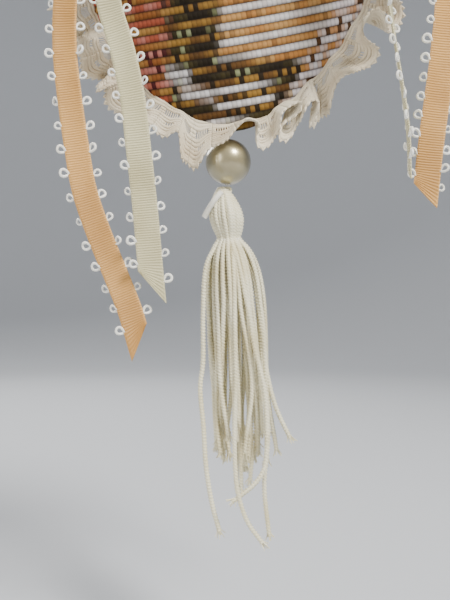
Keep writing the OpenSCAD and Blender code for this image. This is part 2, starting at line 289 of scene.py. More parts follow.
def line_object(*lines):
    """One curve object that holds each of these lines of points."""
    curve = bpy.data.curves.new("line", "CURVE")
    curve.dimensions = "3D"
    for points in lines:
        spline = curve.splines.new("POLY")
        spline.points.add(len(points) - 1)
        for spot, p in zip(spline.points, points):
            spot.co = (*p, 1)
    return linked("line", curve)


def make_cord(name, points, finish, diameter, stitch=0.6, relief=0.16, plies=1, knitted=1,
              sides=9, steps=4):
    """A cord in millimetres along points in metres, with its bumps modelled."""
    inputs = {
        "Radius": diameter / 2 * MM, "Step": stitch / steps * MM, "Stitch length": stitch * MM,
        "Relief": relief * MM, "Plies": float(plies), "Knitted": float(knitted), "Sides": sides,
        "Finish": finish,
    }
    return grown(line_object(points), name, CORD_MAKER, inputs)


def joined(name, objects):
    """Several meshes made one piece."""
    merged = bmesh.new()
    finishes = []
    for o in objects:
        finishes += [m for m in o.data.materials if m not in finishes]
    for o in objects:
        first = len(merged.faces)
        merged.from_mesh(o.data)
        merged.faces.ensure_lookup_table()
        slots = [finishes.index(m) for m in o.data.materials]
        for face in merged.faces[first:]:
            face.material_index = slots[face.material_index] if slots else 0
    mesh = bpy.data.meshes.new(name)
    merged.to_mesh(mesh)
    merged.free()
    for m in finishes:
        mesh.materials.append(m)
    for o in objects:
        bpy.data.objects.remove(o)
    return linked(name, mesh)


print("cord maker ready")

# %% [markdown]
# ## The finishes of threads and ribbons
# Cotton thread is dull with a faint sheen. The tassel's viscose cord is brighter. Each cord gets
# painted shade in the grooves between its stitches: a darker yellow is mixed into its colour there.
# The grooves are known, because the cord maker stored how far along and around the cord each point
# is.

# %% Cord and thread finishes
def cord_finish(name, light, dark, stitch, sheen, roughness):
    g = shader(name, Roughness=roughness, Sheen_Weight=sheen, Sheen_Roughness=0.4)
    along, around = g.attribute("along"), g.attribute("around")
    groove = ((((around - 0.5).size() * 2 + along / (stitch * MM)) * math.tau).cos() + 1) * 0.5
    stain = g.noise(g.spot, 90)
    fibre = g.noise(g.spot, 5200, 1.0)
    worn = g.mix(g.step(stain, 0.45, 0.75) * 0.55, light, dark)
    # Painted shade: the dark colour is mixed in along the grooves between the stitches
    shaded = g.mix((1 - groove) * 0.45, worn, dark)
    g.feed(Base_Color=shaded, Roughness=roughness - 0.12 + 0.3 * fibre)
    g.bump(fibre, 0.00008, 0.5)
    return g.material


TASSEL_FINISH = cord_finish(
    "tassel_viscose", (0.88, 0.84, 0.64), (0.58, 0.49, 0.24), 0.68, sheen=0.15, roughness=0.42)
HANGER_FINISH = cord_finish(
    "hanging_cord_cotton", (0.80, 0.74, 0.60), (0.58, 0.48, 0.32), 1.3, sheen=0.2, roughness=0.6)
THREAD_FINISH = cord_finish(
    "sewing_thread", (0.86, 0.84, 0.76), (0.70, 0.66, 0.52), 0.3, sheen=0.1, roughness=0.55)
PICOT_FINISH = cord_finish(
    "picot_thread", (0.86, 0.85, 0.78), (0.62, 0.60, 0.48), 0.3, sheen=0.2, roughness=0.28)


def ribbon_finish(name, light, dark, rib_shade):
    """Ribbed ribbon: a rib lies across it at every step, with painted shade between the ribs, and
    each edge is woven closer.
    """
    g = shader(name, Roughness=0.45, Sheen_Weight=0.12, Sheen_Roughness=0.35)
    across, along = g.attribute("across"), g.attribute("along")
    edge = g.step((across - 0.5).size(), 0.43, 0.49)
    rib = ((along / (RIB * MM)) * math.tau).cos()
    warp = ((across * 64) * math.tau).cos()
    cloud = g.noise(g.spot, 70)
    base = g.mix(g.step(cloud, 0.35, 0.75), light, dark)
    # Painted shade: the dark colour is mixed into the troughs between the ribs, more on peach than
    # on cream
    rib_shaded = g.mix((1 - rib) * rib_shade, base, dark)
    bright = tuple(min(1.0, c * 1.12 + 0.04) for c in light)
    g.feed(Base_Color=g.mix(edge * 0.6, rib_shaded, bright),
           Roughness=0.38 + 0.12 * cloud + 0.08 * edge)
    g.bump(rib * 0.5 + warp * 0.25, 0.00005, 0.6)
    return g.material


RIB = 0.5  # millimetres from one rib to the next
PEACH = ribbon_finish("peach_ribbon", (0.68, 0.365, 0.095), (0.47, 0.23, 0.05), 0.30)
CREAM = ribbon_finish("cream_ribbon", (0.58, 0.53, 0.31), (0.43, 0.38, 0.20), 0.08)
print("finishes:", [m.name for m in bpy.data.materials])

# %% [markdown]
# ## The ribbon ends
# Four free ends of two ribbons trail from the bow: peach and cream on each side. They are limp,
# so they bulge over the heart and then hang straight. Each route is the CAD model's, point by
# point, with the way that the ribbon faces. The first points lead back into the bow's knot.

# %% Ribbon routes
RIBBON_W = 5.0
RIBBON_T = 0.35
ROUTES = {
    "peach_tail_left": [
        (-1, -14.9, 58.6, 0), (-4.4, -16.4, 56.6, 0), (-8, -18.2, 53.6, 0), (-14, -19, 50, 0),
        (-21, -19, 45.6, 0), (-27, -18, 40, -4), (-31, -16, 32, -8), (-32.5, -14.5, 23, -10),
        (-32.7, -14, 13, -8), (-31.8, -14, 3, -3), (-30.5, -14, -6, 0), (-28.8, -14, -15, 2),
        (-25.8, -14, -24, 2), (-22.6, -14, -32, 0), (-19.8, -14, -39, 0), (-17.8, -14, -45.5, 0),
    ],
    "cream_tail_left": [
        (-0.8, -16.6, 60, 0), (-3, -18.7, 57.2, 0), (-5.5, -20.5, 53, 0), (-10.5, -21.5, 48.5, 0),
        (-16, -21, 43, 0), (-20.5, -19.5, 36.5, -4), (-23.4, -17.5, 29.5, -6),
        (-23.6, -16, 22, -8), (-21.2, -15.5, 13, -5), (-19, -15.5, 3, -3), (-17.8, -15.5, -7, 0),
        (-16.8, -15.5, -17, 4), (-15.8, -15.5, -27, 6), (-15.1, -15.5, -34.5, 6),
    ],
    "cream_tail_right": [
        (0.8, -16.6, 60, 0), (3, -18.7, 57.2, 0), (6, -20.5, 53.5, 0), (11.5, -21.5, 49.5, 5),
        (18, -20.5, 45.5, 14), (24, -19, 40.5, 26), (28.2, -17.5, 34.5, 42), (30.4, -17, 28, 58),
        (31.5, -17, 21.5, 68), (32.8, -17, 13, 74), (34, -17, 5, 78), (35.2, -17, -4, 80),
        (35.5, -17, -12, 80),
    ],
    "peach_tail_right": [
        (1, -14.9, 57.6, 0), (4.4, -16.4, 56, 0), (9, -18.4, 54, 0), (16, -19.6, 52.6, 0),
        (24.5, -20, 50.6, 0), (32, -19.5, 47, 4), (38, -18.5, 40.5, 6), (41.8, -17.5, 32.5, 4),
        (43, -17, 22.5, 0), (42.2, -17, 12.5, -3), (40.9, -17, 2.5, -4), (39.6, -17, -7.5, -4),
        (38.6, -17, -16.5, -4),
    ],
}
# How much further the ribbon's left edge reaches than its right one, where it was cut
SLANTS = {
    "peach_tail_left": 6.5, "cream_tail_left": -7, "cream_tail_right": 3, "peach_tail_right": -4.5,
}


def smooth(route, cuts):
    """A curve through every point of a route, with cuts steps in each span."""
    p = np.array(route, float)
    p = np.vstack([2 * p[0] - p[1], p, 2 * p[-1] - p[-2]])
    out = []
    for i in range(1, len(p) - 2):
        a, b, c, d = p[i - 1 : i + 3]
        for t in np.arange(cuts) / cuts:
            out.append(0.5 * (2 * b + (c - a) * t + (2 * a - 5 * b + 4 * c - d) * t * t
                              + (3 * b - a - 3 * c + d) * t**3))
    return np.array(out + [p[-2]])


def spaced(points, gap):
    """The same line with its points gap apart, whatever its columns hold past the third."""
    steps = np.linalg.norm(np.diff(points[:, :3], axis=0), axis=1)
    reach = np.concatenate([[0], np.cumsum(steps)])
    at = np.linspace(0, reach[-1], max(2, round(reach[-1] / gap) + 1))
    return np.stack([np.interp(at, reach, column) for column in points.T], 1)


def unit(v):
    return v / np.maximum(np.linalg.norm(v, axis=-1, keepdims=True), 1e-12)


print("routes of", list(ROUTES))

# %% [markdown]
# A ribbon is one closed strip. Its section is flat with a thicker woven edge, and a rib stands up
# across it every half millimetre, so the section is repeated five times for each rib.

# %% The ribbon maker
def ribbon_mesh(name, line, face, finish, slant=0.0, cup=0.0):
    """A ribbed strip along line, in millimetres, that looks the way face points."""
    n = len(line)
    along = unit(np.gradient(line, axis=0))
    across = unit(np.cross(along, face))
    out = unit(np.cross(across, along))
    reach = np.concatenate([[0], np.cumsum(np.linalg.norm(np.diff(line, axis=0), axis=1))])
    columns = np.linspace(-1, 1, 11)
    edge = np.clip((np.abs(columns) - 0.86) / 0.14, 0, 1)
    thick = RIBBON_T * (0.5 + 0.28 * np.sin(math.pi * edge)) * np.sqrt(1 - 0.6 * edge**4)
    rib = 0.05 * np.cos(math.tau * reach / RIB)
    points, marks = [], []
    last = np.clip((reach - reach[-1] + 6) / 6, 0, 1)
    for side in (1, -1):
        for k, c in enumerate(columns[::side]):
            t = thick[::side][k]
            lift = side * (t + rib * (1 - edge[::side][k])) + cup * (c * c - 0.3)
            skew = along * (c * slant / 2 * last**2)[:, None]
            points.append(line + across * c * RIBBON_W / 2 + out * lift[:, None] + skew)
            marks.append((c + 1) / 2)
    ring = len(points)
    i, k = np.meshgrid(np.arange(n - 1), np.arange(ring), indexing="ij")
    a, b = i * ring + k, i * ring + (k + 1) % ring
    quads = np.stack([a, b, b + ring, a + ring], -1).reshape(-1, 4).tolist()
    half = ring // 2
    for start, flip in ((0, 1), ((n - 1) * ring, -1)):
        for k in range(half - 1):
            cap = [k, ring - 1 - k, ring - 2 - k, k + 1][::flip]
            quads.append([start + c for c in cap])
    piece = meshed(name, in_frame(np.stack(points, 1).reshape(-1, 3)), quads)
    store(piece.data, "across", np.tile(marks, n))
    store(piece.data, "along", np.repeat(reach, ring) * MM)
    piece.data.materials.append(finish)
    piece.data.shade_smooth()
    outward(piece)
    return piece, across, out, reach


def store(mesh, name, values):
    layer = mesh.attributes.new(name, "FLOAT", "POINT")
    layer.data.foreach_set("value", np.asarray(values, np.float32))


def outward(piece):
    """Turns every face of a closed mesh to look out."""
    work = bmesh.new()
    work.from_mesh(piece.data)
    bmesh.ops.recalc_face_normals(work, faces=work.faces)
    work.to_mesh(piece.data)
    work.free()


# %% [markdown]
# The looped edge is called picot: the weaver lets one thread out every few millimetres, and it
# crosses itself into a teardrop. Each loop is alike, so Geometry Nodes put one on every foot and
# turn it to point away from the ribbon.

# %% The picot maker
def picot_tree():
    g, given = group("picots_on_feet", Geometry=["Feet"],
                     Float=["Loop width", "Loop height", "Thread radius"], Material=["Finish"])
    path = g.node("GeometryNodeCurvePrimitiveCircle", {}, {"Resolution": 18})
    turn = g.node("GeometryNodeSplineParameter", output="Factor") * math.tau
    narrow = ((turn / 2).sin()) ** 0.9
    side = turn.sin() * narrow * given.also("Loop width") * 0.62
    up = (1 - turn.cos()) * 0.5 * given.also("Loop height")
    spot = g.node("ShaderNodeCombineXYZ", {}, {0: side, 1: up, 2: turn.sin() * 0.00012})
    shaped = g.node("GeometryNodeSetPosition", {}, {"Geometry": path, "Position": spot})
    profile = g.node("GeometryNodeCurvePrimitiveCircle", {}, {
        "Resolution": 6, "Radius": given.also("Thread radius")})
    loop = g.node("GeometryNodeCurveToMesh", {}, {"Curve": shaped, "Profile Curve": profile})
    size = g.node("FunctionNodeRandomValue", {"data_type": "FLOAT"},
                  {2: 0.85, 3: 1.12, "Seed": 7}, output=1)
    away = g.node("FunctionNodeAlignRotationToVector", {"axis": "Y"},
                  {"Vector": g.named("away", "FLOAT_VECTOR")})
    level = g.node("FunctionNodeAlignRotationToVector", {"axis": "X", "pivot_axis": "Y"},
                   {"Rotation": away, "Vector": g.named("run", "FLOAT_VECTOR")})
    placed = g.node("GeometryNodeInstanceOnPoints", {}, {
        "Points": given.also("Feet"), "Instance": loop, "Rotation": level, "Scale": size})
    solid = g.node("GeometryNodeRealizeInstances", {}, {"Geometry": placed})
    return grouped(g, given, g.node("GeometryNodeSetShadeSmooth", {}, {"Geometry": solid}))


PICOT_MAKER = picot_tree()
PICOT_GAPS = {"left": 4.9, "right": 3.9}  # the ribbons on the right are looped more closely


def picots(name, line, across, out, reach, seed, slant=0.0):
    """Loops along both edges of a ribbon, each turned a little at random."""
    gap = PICOT_GAPS["right" if "right" in name else "left"]
    draw = random.Random(seed)
    feet, away, run = [], [], []
    along = unit(np.gradient(line, axis=0))
    for side in (-1, 1):
        at = draw.uniform(1.2, 3.0)
        end = reach[-1] - 0.8 + side * slant / 2
        while at < min(end, reach[-1] - 0.5):
            k = int(np.searchsorted(reach, at))
            foot = line[k] + across[k] * side * (RIBBON_W / 2 - 0.15)
            lean = -along[k] * draw.uniform(0.35, 0.95) + out[k] * draw.uniform(-0.7, 0.7)
            feet.append(Vector(foot * MM) + Vector((0, 0, point_z)))
            away.append(unit(across[k] * side + lean))
            run.append(along[k])
            at += gap + draw.uniform(-0.35, 0.35)
    holder = meshed(name + "_feet", feet, [])
    for label, values in (("away", away), ("run", run)):
        layer = holder.data.attributes.new(label, "FLOAT_VECTOR", "POINT")
        layer.data.foreach_set("vector", np.array(values, np.float32).ravel())
    return grown(holder, name, PICOT_MAKER, {
        "Loop width": 1.35 * MM, "Loop height": 1.75 * MM, "Thread radius": 0.26 * MM,
        "Finish": PICOT_FINISH})


BODY_OF_TAIL = {
    "peach_tail_left": "peach_left", "cream_tail_left": "cream_left",
    "peach_tail_right": "peach_right", "cream_tail_right": "cream_right",
}
for seed, (node, route) in enumerate(ROUTES.items()):
    colour = node.split("_")[0]
    path = spaced(smooth(route, 12), RIB / 5)
    line, turn = path[:, :3], np.radians(path[:, 3])
    drift = np.linspace(0, 1, len(line))
    line = line + 0.12 * np.sin(drift * 23 + seed)[:, None] * np.array([0.4, 1, 0])
    face = np.stack([np.sin(turn), -np.cos(turn), np.zeros(len(turn))], 1)
    finish = PEACH if colour == "peach" else CREAM
    tail, across, out, reach = ribbon_mesh(
        node.replace("_tail_", "_end_"), line, face, finish, SLANTS[node], cup=0.25)
    loops = picots(tail.name + "_picots", line, across, out, reach, seed, SLANTS[node])
    for piece in (tail, loops):
        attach(piece, BODY_OF_TAIL[node])
        colour + "_ribbon"
    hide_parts(node)
    centre = in_frame(line[::10])
    reach[-1] * MM
    print(tail.name, "is", round(reach[-1]), "mm long, its picots have",
          len(loops.data.vertices), "points")

# %% [markdown]
# ## The tassel
# The tassel is a bundle of knitted cords, folded over the eye so that the folds make the head. A
# tie pulls the bundle in at the neck, and below it the cords hang free. Real ones never fall
# alike, so each strand starts from its place in the bundle and then wanders. A few cords in front
# are placed one by one, where this tassel's own strays lie.

# %% Tassel measures
head_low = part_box("tassel_head")[0].z
head_high = point_z - 12.4 * MM
eye_z = (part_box("tassel_eye")[0].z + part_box("tassel_eye")[1].z) / 2
strand_d = 1.2
NECK_R = 2.15
# The head's radius in millimetres, at each share of the way from its top to the neck
HEAD = np.array([(0, 0.48), (0.1, 1.35), (0.21, 2.15), (0.42, 3.1), (0.6, 3.36), (0.78, 2.95),
                 (0.9, 2.4), (1, NECK_R)])
print("tassel head from", round(head_low, 4), "to", round(head_high, 4))


def head_point(angle, t, share):
    """A cord's middle on the head, from the top, t = 0, to the neck, t = 1."""
    r = float(np.interp(t, *HEAD.T)) * share
    lean = -1.3 + 1.5 * t
    return (MM * (r * math.cos(angle) + lean), MM * r * math.sin(angle),
            head_high + (head_low - head_high) * t)


def strand_points(angle, share, length, seed):
    """One cord from the eye, over the head, through the neck and down to its end."""
    draw = random.Random(seed)
    points = [head_point(angle, k / 12, share) for k in range(13)]
    wander = [draw.uniform(-1, 1) for _ in range(6)]
    full = 6.25 * share + 0.35 * wander[0]
    count = round(length / 2)
    for k in range(1, count + 1):
        fall = length * k / count
        free = max(0.0, fall - 14) / 30
        a = angle + 0.55 * wander[1] * free + 0.35 * wander[2] * free * math.sin(fall / 7 + seed)
        r = NECK_R * share + (full - NECK_R * share) * (1 - math.exp(-fall / 4.2))
        r += 1.1 * wander[3] * free
        x = r * math.cos(a) + 0.2 + 1.1 * (1 - math.exp(-fall / 10)) + 0.035 * fall
        x += 0.9 * wander[4] * free * math.sin(fall / 6 + 2 * seed)
        y = r * math.sin(a) + 0.7 * wander[5] * free * math.sin(fall / 8)
        points.append((x * MM, y * MM, head_low - fall * MM))
    return np.array(points)


# %% Strands of the tassel
tassel_draw = random.Random(11)
strands = []
for count, layer, share in ((22, 0, 1.0), (12, 1, 0.66), (5, 2, 0.3)):
    for k in range(count):
        angle = math.tau * (k + tassel_draw.uniform(-0.2, 0.2)) / count
        length = tassel_draw.choice((41, 43, 45, 47, 50, 54, 58) if layer else (42, 44, 46, 49))
        strands.append(strand_points(angle, share - 0.09 * (k % 2), length, 100 * layer + k))
# Strays, as waypoints: x, y and height from the heart's point, below the neck
STRAYS = [
    [(-2.0, -1.2, -24), (-4.8, -3.2, -30), (-5.4, -3.6, -40), (-5.4, -3.8, -50), (-6.0, -4.2, -56),
     (-5.3, -4.6, -64), (-4.8, -4.6, -72), (-3.6, -4.4, -80), (-1.9, -4.2, -86.5)],
    [(0.6, -2.3, -24), (1.2, -5.4, -31), (1.4, -6.6, -42), (1.6, -7.2, -54), (1.3, -7.6, -66),
     (1.8, -7.8, -76), (3.8, -7.6, -83), (7.2, -7.4, -88)],
    [(2.1, -1.0, -24), (5.2, -2.6, -31), (7.0, -3.4, -42), (8.2, -3.6, -52), (10.2, -3.8, -60),
     (13.2, -3.8, -66.5)],
    [(1.6, -1.7, -24), (3.6, -4.8, -31), (5.2, -6.0, -45), (7.8, -6.6, -57), (8.0, -7.0, -70),
     (6.0, -7.4, -75), (1.2, -7.6, -79)],
    [(0.9, -2.1, -24), (2.6, -5.2, -31), (6.4, -5.8, -50), (8.4, -6.0, -64), (7.6, -6.2, -76),
     (8.6, -6.2, -86.5)],
]
for stray in STRAYS:
    first = np.array(stray[0])
    a = math.atan2(first[1], first[0])
    top = np.array([head_point(a, k / 12, 1.0) for k in range(12)])
    below = np.array([place(*p) for p in stray])
    strands.append(np.vstack([top, smooth(below, 4)]))
print(len(strands), "strands")

strand_pieces = []
for k, points in enumerate(strands):
    path = spaced(smooth(points, 3), 0.001)
    piece = make_cord(f"strand_{k + 1:02d}", path, TASSEL_FINISH, strand_d,
                      stitch=0.68, relief=0.26, plies=2)
    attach(piece, "tassel")
    strand_pieces.append((piece, path))
longest = sorted(strand_pieces, key=lambda made: made[1][-1][2])[:36]
for piece, path in longest:
    length = float(np.linalg.norm(np.diff(path, axis=0), axis=1).sum())
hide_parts("tassel_skirt", "tassel_head")
print("longest strand ends at", round(min(p[1][-1][2] for p in strand_pieces), 4))

# %% [markdown]
# The cut ends fray. Each end gets a small tuft of fibres that spread from the cut. Geometry Nodes
# would need the cut's direction at every end, so a short loop makes the fibres as lines, and the
# cord maker turns them into threads.

# %% Frayed ends
fray_draw = random.Random(5)
fibres = []
for _, path in strand_pieces:
    end, before = Vector(path[-1]), Vector(path[-3])
    way = (end - before).normalized()
    for _ in range(16):
        spread = Vector([fray_draw.gauss(0, 1) for _ in range(3)])
        spread = (spread - spread.dot(way) * way).normalized() * fray_draw.uniform(0.1, 1)
        length = fray_draw.uniform(0.9, 2.0) * MM
        foot = end - way * 0.5 * MM + spread * 0.42 * MM
        fibres.append([foot + way * length * t + spread * (0.55 * MM * t * t)
                       + spread * length * 0.25 * t for t in (0, 1 / 3, 2 / 3, 1)])
fray = grown(line_object(*fibres), "frayed_ends", CORD_MAKER, {
    "Radius": 0.085 * MM, "Step": 0.45 * MM, "Stitch length": 0.3 * MM, "Relief": 0.0,
    "Plies": 1.0, "Knitted": 1.0, "Sides": 4, "Finish": TASSEL_FINISH})
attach(fray, "tassel")
print("frayed ends:", len(fray.data.polygons), "faces")


# %% Tie, its cut end and the eye
def ring(radius, z, turns, pitch, start):
    """Turns of a thread round the neck, going down from z."""
    count = int(40 * turns)
    out = []
    for k in range(count + 1):
        a = start + math.tau * turns * k / count
        out.append((radius * math.cos(a) + 0.2 * MM, radius * math.sin(a),
                    z - pitch * turns * k / count))
    return np.array(out)


tie_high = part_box("tassel_tie")[1].z
tie_turns = ring(2.62 * MM, tie_high - 0.1 * MM, turns=3.2, pitch=0.34 * MM, start=-1.2)
tie = make_cord("neck_tie", tie_turns, THREAD_FINISH, 0.4, stitch=0.5, relief=0.06, plies=2,
                knitted=0, sides=7)
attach(tie, "tassel")
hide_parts("tassel_tie")
eye_r = 0.62 * MM
eye_path = np.array([
    (eye_r * math.cos(a), 0.3 * MM * math.sin(2 * a) * 0.3, eye_z + eye_r * math.sin(a))
    for a in np.linspace(0, math.tau, 25)])
eye = make_cord("tassel_eye_ring", eye_path, TASSEL_FINISH, 0.62, stitch=0.5, relief=0.08, sides=7)
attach(eye, "eye")
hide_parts("tassel_eye")
tag_points = [place(*p) for p in (
    (-1.4, -2.2, -13.6), (-2.9, -2.6, -15.4), (-4.3, -2.0, -17.4), (-5.2, -1.4, -19.0))]
tag = make_cord("tie_cord_end", spaced(smooth(tag_points, 6), 0.0002), THREAD_FINISH, 1.35,
                stitch=0.5, relief=0.12, plies=3, knitted=0)
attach(tag, "tassel")
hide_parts("tie_end")
print("tie, eye and tie end made")

# %% [markdown]
# ## The heart
# A stuffed heart starts as two flat hearts of cloth, sewn together round the edge. Filling pushes
# them apart, and because woven cloth hardly stretches, the edge draws in and puckers. That is what
# a cloth simulation does well: the two flat pieces share their seam, and pressure stands for the
# wadding. Each point keeps its place on the flat cloth as its UV, so the weave stays even.

# %% The flat heart
HALF_W, HEART_H, NOTCH_H = 34.0, 70.0, 59.0
WIDE_H, LOBE_X = HEART_H * 0.715, HALF_W * 0.515
SEAM_CURVES = [
    [(0, 0), (HALF_W * 0.41, 0), (HALF_W, HEART_H * 0.4), (HALF_W, WIDE_H)],
    [(HALF_W, WIDE_H), (HALF_W, WIDE_H + 11.5), (LOBE_X + 10, HEART_H), (LOBE_X, HEART_H)],
    [(LOBE_X, HEART_H), (LOBE_X - 9, HEART_H), (1.5, NOTCH_H + 6), (0, NOTCH_H)],
]


def seam_outline(gap):
    """The seam line once round from the point up the right side, evenly spaced."""
    half = []
    for curve in SEAM_CURVES:
        p = np.array(curve)
        for t in np.linspace(0, 1, 60, endpoint=False):
            half.append((1 - t)**3 * p[0] + 3 * (1 - t)**2 * t * p[1]
                        + 3 * (1 - t) * t * t * p[2] + t**3 * p[3])
    half.append(np.array([0, NOTCH_H]))
    half = spaced(np.column_stack([half, np.zeros(len(half))]), gap)[:, :2]
    left = half[-2:0:-1] * [-1, 1]
    return np.vstack([half, left])


def inside(points, outline):
    """Which points lie within a closed outline."""
    x, y = points[:, 0], points[:, 1]
    found = np.zeros(len(points), bool)
    for a, b in zip(outline, np.roll(outline, -1, 0)):
        crosses = (a[1] > y) != (b[1] > y)
        slope = (b[0] - a[0]) / (b[1] - a[1] if b[1] != a[1] else 1e-9)
        found ^= crosses & (x < slope * (y - a[1]) + a[0])
    return found


CELL = 1.3  # millimetres between the points of the flat cloth
outline = seam_outline(CELL)
rim = len(outline)
cells = np.array([(x, h) for j, h in enumerate(np.arange(0, HEART_H, CELL * 0.866))
                  for x in np.arange(-HALF_W, HALF_W, CELL) + (CELL / 2 if j % 2 else 0)])
near = np.array([np.min(np.linalg.norm(outline - c, axis=1)) for c in cells])
cells = cells[inside(cells, outline) & (near > CELL * 0.62)]
spots = [Vector(p) for p in np.vstack([outline, cells])]
rim_edges = [(k, (k + 1) % rim) for k in range(rim)]
flat, _, triangles, *_ = geometry.delaunay_2d_cdt(spots, rim_edges, [], 1, 1e-5)
flat = np.array([(p.x, p.y) for p in flat])
print("flat heart:", len(flat), "points,", len(triangles), "triangles,", rim, "on the seam")

# %% Stuff the heart
n_flat = len(flat)
back_of = np.arange(n_flat)
back_of[rim:] = n_flat + np.arange(n_flat - rim)
middle = np.array([0, 40.0])


def dome(points):
    """Share of the full bulge at each flat point, for a first shape."""
    angle = np.arctan2(*(points - middle).T[::-1])
    rim_angle = np.arctan2(*(outline - middle).T[::-1])
    order = np.argsort(rim_angle)
    rim_reach = np.linalg.norm(outline - middle, axis=1)
    reach = np.interp(angle, rim_angle[order], rim_reach[order], period=math.tau)
    s = np.clip(np.linalg.norm(points - middle, axis=1) / reach, 0, 1)
    return (1 - s**2.2) ** 0.62


front_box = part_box("front_panel")
bulge = (front_box[1].y - front_box[0].y) / MM
start_lift = 1.5
lift = start_lift * dome(flat)
lift[:rim] = 0
front = np.column_stack([flat[:, 0], -lift, flat[:, 1]])
back = np.column_stack([flat[rim:, 0], lift[rim:], flat[rim:, 1]])
shape = np.vstack([front, back])
faces = []
for a, b, c in triangles:
    pa, pb, pc = flat[a], flat[b], flat[c]
    turn = (pb[0] - pa[0]) * (pc[1] - pa[1]) - (pb[1] - pa[1]) * (pc[0] - pa[0])
    faces.append((a, b, c) if turn > 0 else (a, c, b))
front_count = len(faces)
faces += [tuple(int(back_of[k]) for k in face[::-1]) for face in faces[:front_count]]

SIM_SCALE = 10 * MM  # the simulation works on a heart ten times as large
pillow = meshed("pillow", shape * SIM_SCALE, faces)
cloth = pillow.modifiers.new("Cloth", "CLOTH")
for key, value in {
        "quality": 8, "mass": 0.35, "tension_stiffness": 40, "compression_stiffness": 25,
        "shear_stiffness": 12, "bending_stiffness": 0.9, "use_pressure": True,
        "uniform_pressure_force": 4.0}.items():
    setattr(cloth.settings, key, value)
cloth.settings.effector_weights.gravity = 0
cloth.collision_settings.use_collision = False
scene = bpy.context.scene
for step in range(1, 26):
    scene.frame_set(step)
evaluated = pillow.evaluated_get(bpy.context.evaluated_depsgraph_get())
swollen = np.zeros(len(shape) * 3)
evaluated.data.vertices.foreach_get("co", swollen)
shape = swollen.reshape(-1, 3) / SIM_SCALE
bpy.data.objects.remove(pillow)
scene.frame_set(1)
low, high = shape.min(0), shape.max(0)
print("stuffed heart measures", np.round(high - low, 1), "mm before it is trued up")
wide = np.array([2 * HALF_W, 2 * bulge + 1.2, HEART_H])
shape = (shape - (low + high) / 2) * wide / (high - low) + [0, 0, HEART_H / 2]
seam_line = shape[:rim]
print("puckers move the seam by", np.round(np.abs(seam_line[:, 1]).max(), 2), "mm")

# %% [markdown]
# The tapestry is woven in rows. Each row is a weft that bulges between the warp threads, so it
# shows as a line of small ovals, half a stitch out of step with the row below. The ovals are
# modelled: the mesh is divided until it can carry them, and each point moves out by the weave.

# %% The woven panels
ROW_H, STITCH_W, ROW_TILT = 1.5, 0.85, math.radians(11)
SHEET = 100.0  # millimetres of flat cloth that the UV square covers


def on_cloth(points):
    """Where a flat point lies along and across the weave, in millimetres."""
    c, s = math.cos(ROW_TILT), math.sin(ROW_TILT)
    x, y = points.T
    return np.column_stack([x * c + y * s, y * c - x * s])


def weave_height(u, v):
    row = np.floor(v / ROW_H)
    across = v / ROW_H - row
    phase = u / STITCH_W + 0.5 * (row % 2)
    oval = 0.45 + 0.55 * np.abs(np.cos(math.pi * phase)) ** 0.55
    return oval * np.sin(math.pi * across) ** 0.6


def panel(name, pick, levels):
    """One cloth of the heart, divided, with its weave raised from the surface."""
    piece = meshed(name, in_frame(shape), pick)
    mesh = piece.data
    mirror = [-1, 1] if name.startswith("back") else [1, 1]
    uv = on_cloth(np.vstack([flat, flat[rim:] * mirror]))
    layer = mesh.uv_layers.new(name="cloth")
    corner = np.zeros(len(mesh.loops), int)
    mesh.loops.foreach_get("vertex_index", corner)
    layer.data.foreach_set("uv", (uv[corner] / SHEET + 0.5).astype(np.float32).ravel())
    divide = piece.modifiers.new("divide", "SUBSURF")
    divide.levels = divide.render_levels = levels
    divide.boundary_smooth = "ALL"
    evaluated = piece.evaluated_get(bpy.context.evaluated_depsgraph_get())
    mesh = bpy.data.meshes.new_from_object(evaluated)
    piece.modifiers.clear()
    piece.data = mesh
    work = bmesh.new()
    work.from_mesh(mesh)
    bmesh.ops.delete(work, geom=[v for v in work.verts if not v.link_faces], context="VERTS")
    square = work.loops.layers.uv["cloth"]
    for v in work.verts:
        u, w = (v.link_loops[0][square].uv - Vector((0.5, 0.5))) * SHEET
        h = float(weave_height(np.array(u), np.array(w)))
        v.co += v.normal * (0.20 * h - 0.05) * MM
    work.to_mesh(mesh)
    work.free()
    mesh.shade_smooth()
    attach(piece, "heart")
    return piece


# %% [markdown]
# ## The tapestry's colours
# Each stitch has one colour, so the pattern is worked out on the stitch and not on the point: the
# cloth's UV is rounded to the middle of its stitch first. The weaver carries one yarn along a row
# for a while and then swaps it, and where two yarns are carried together they show by turns, as
# dots. Broad areas choose the pair of yarns: rose and brown, olive and ochre, white and tan.

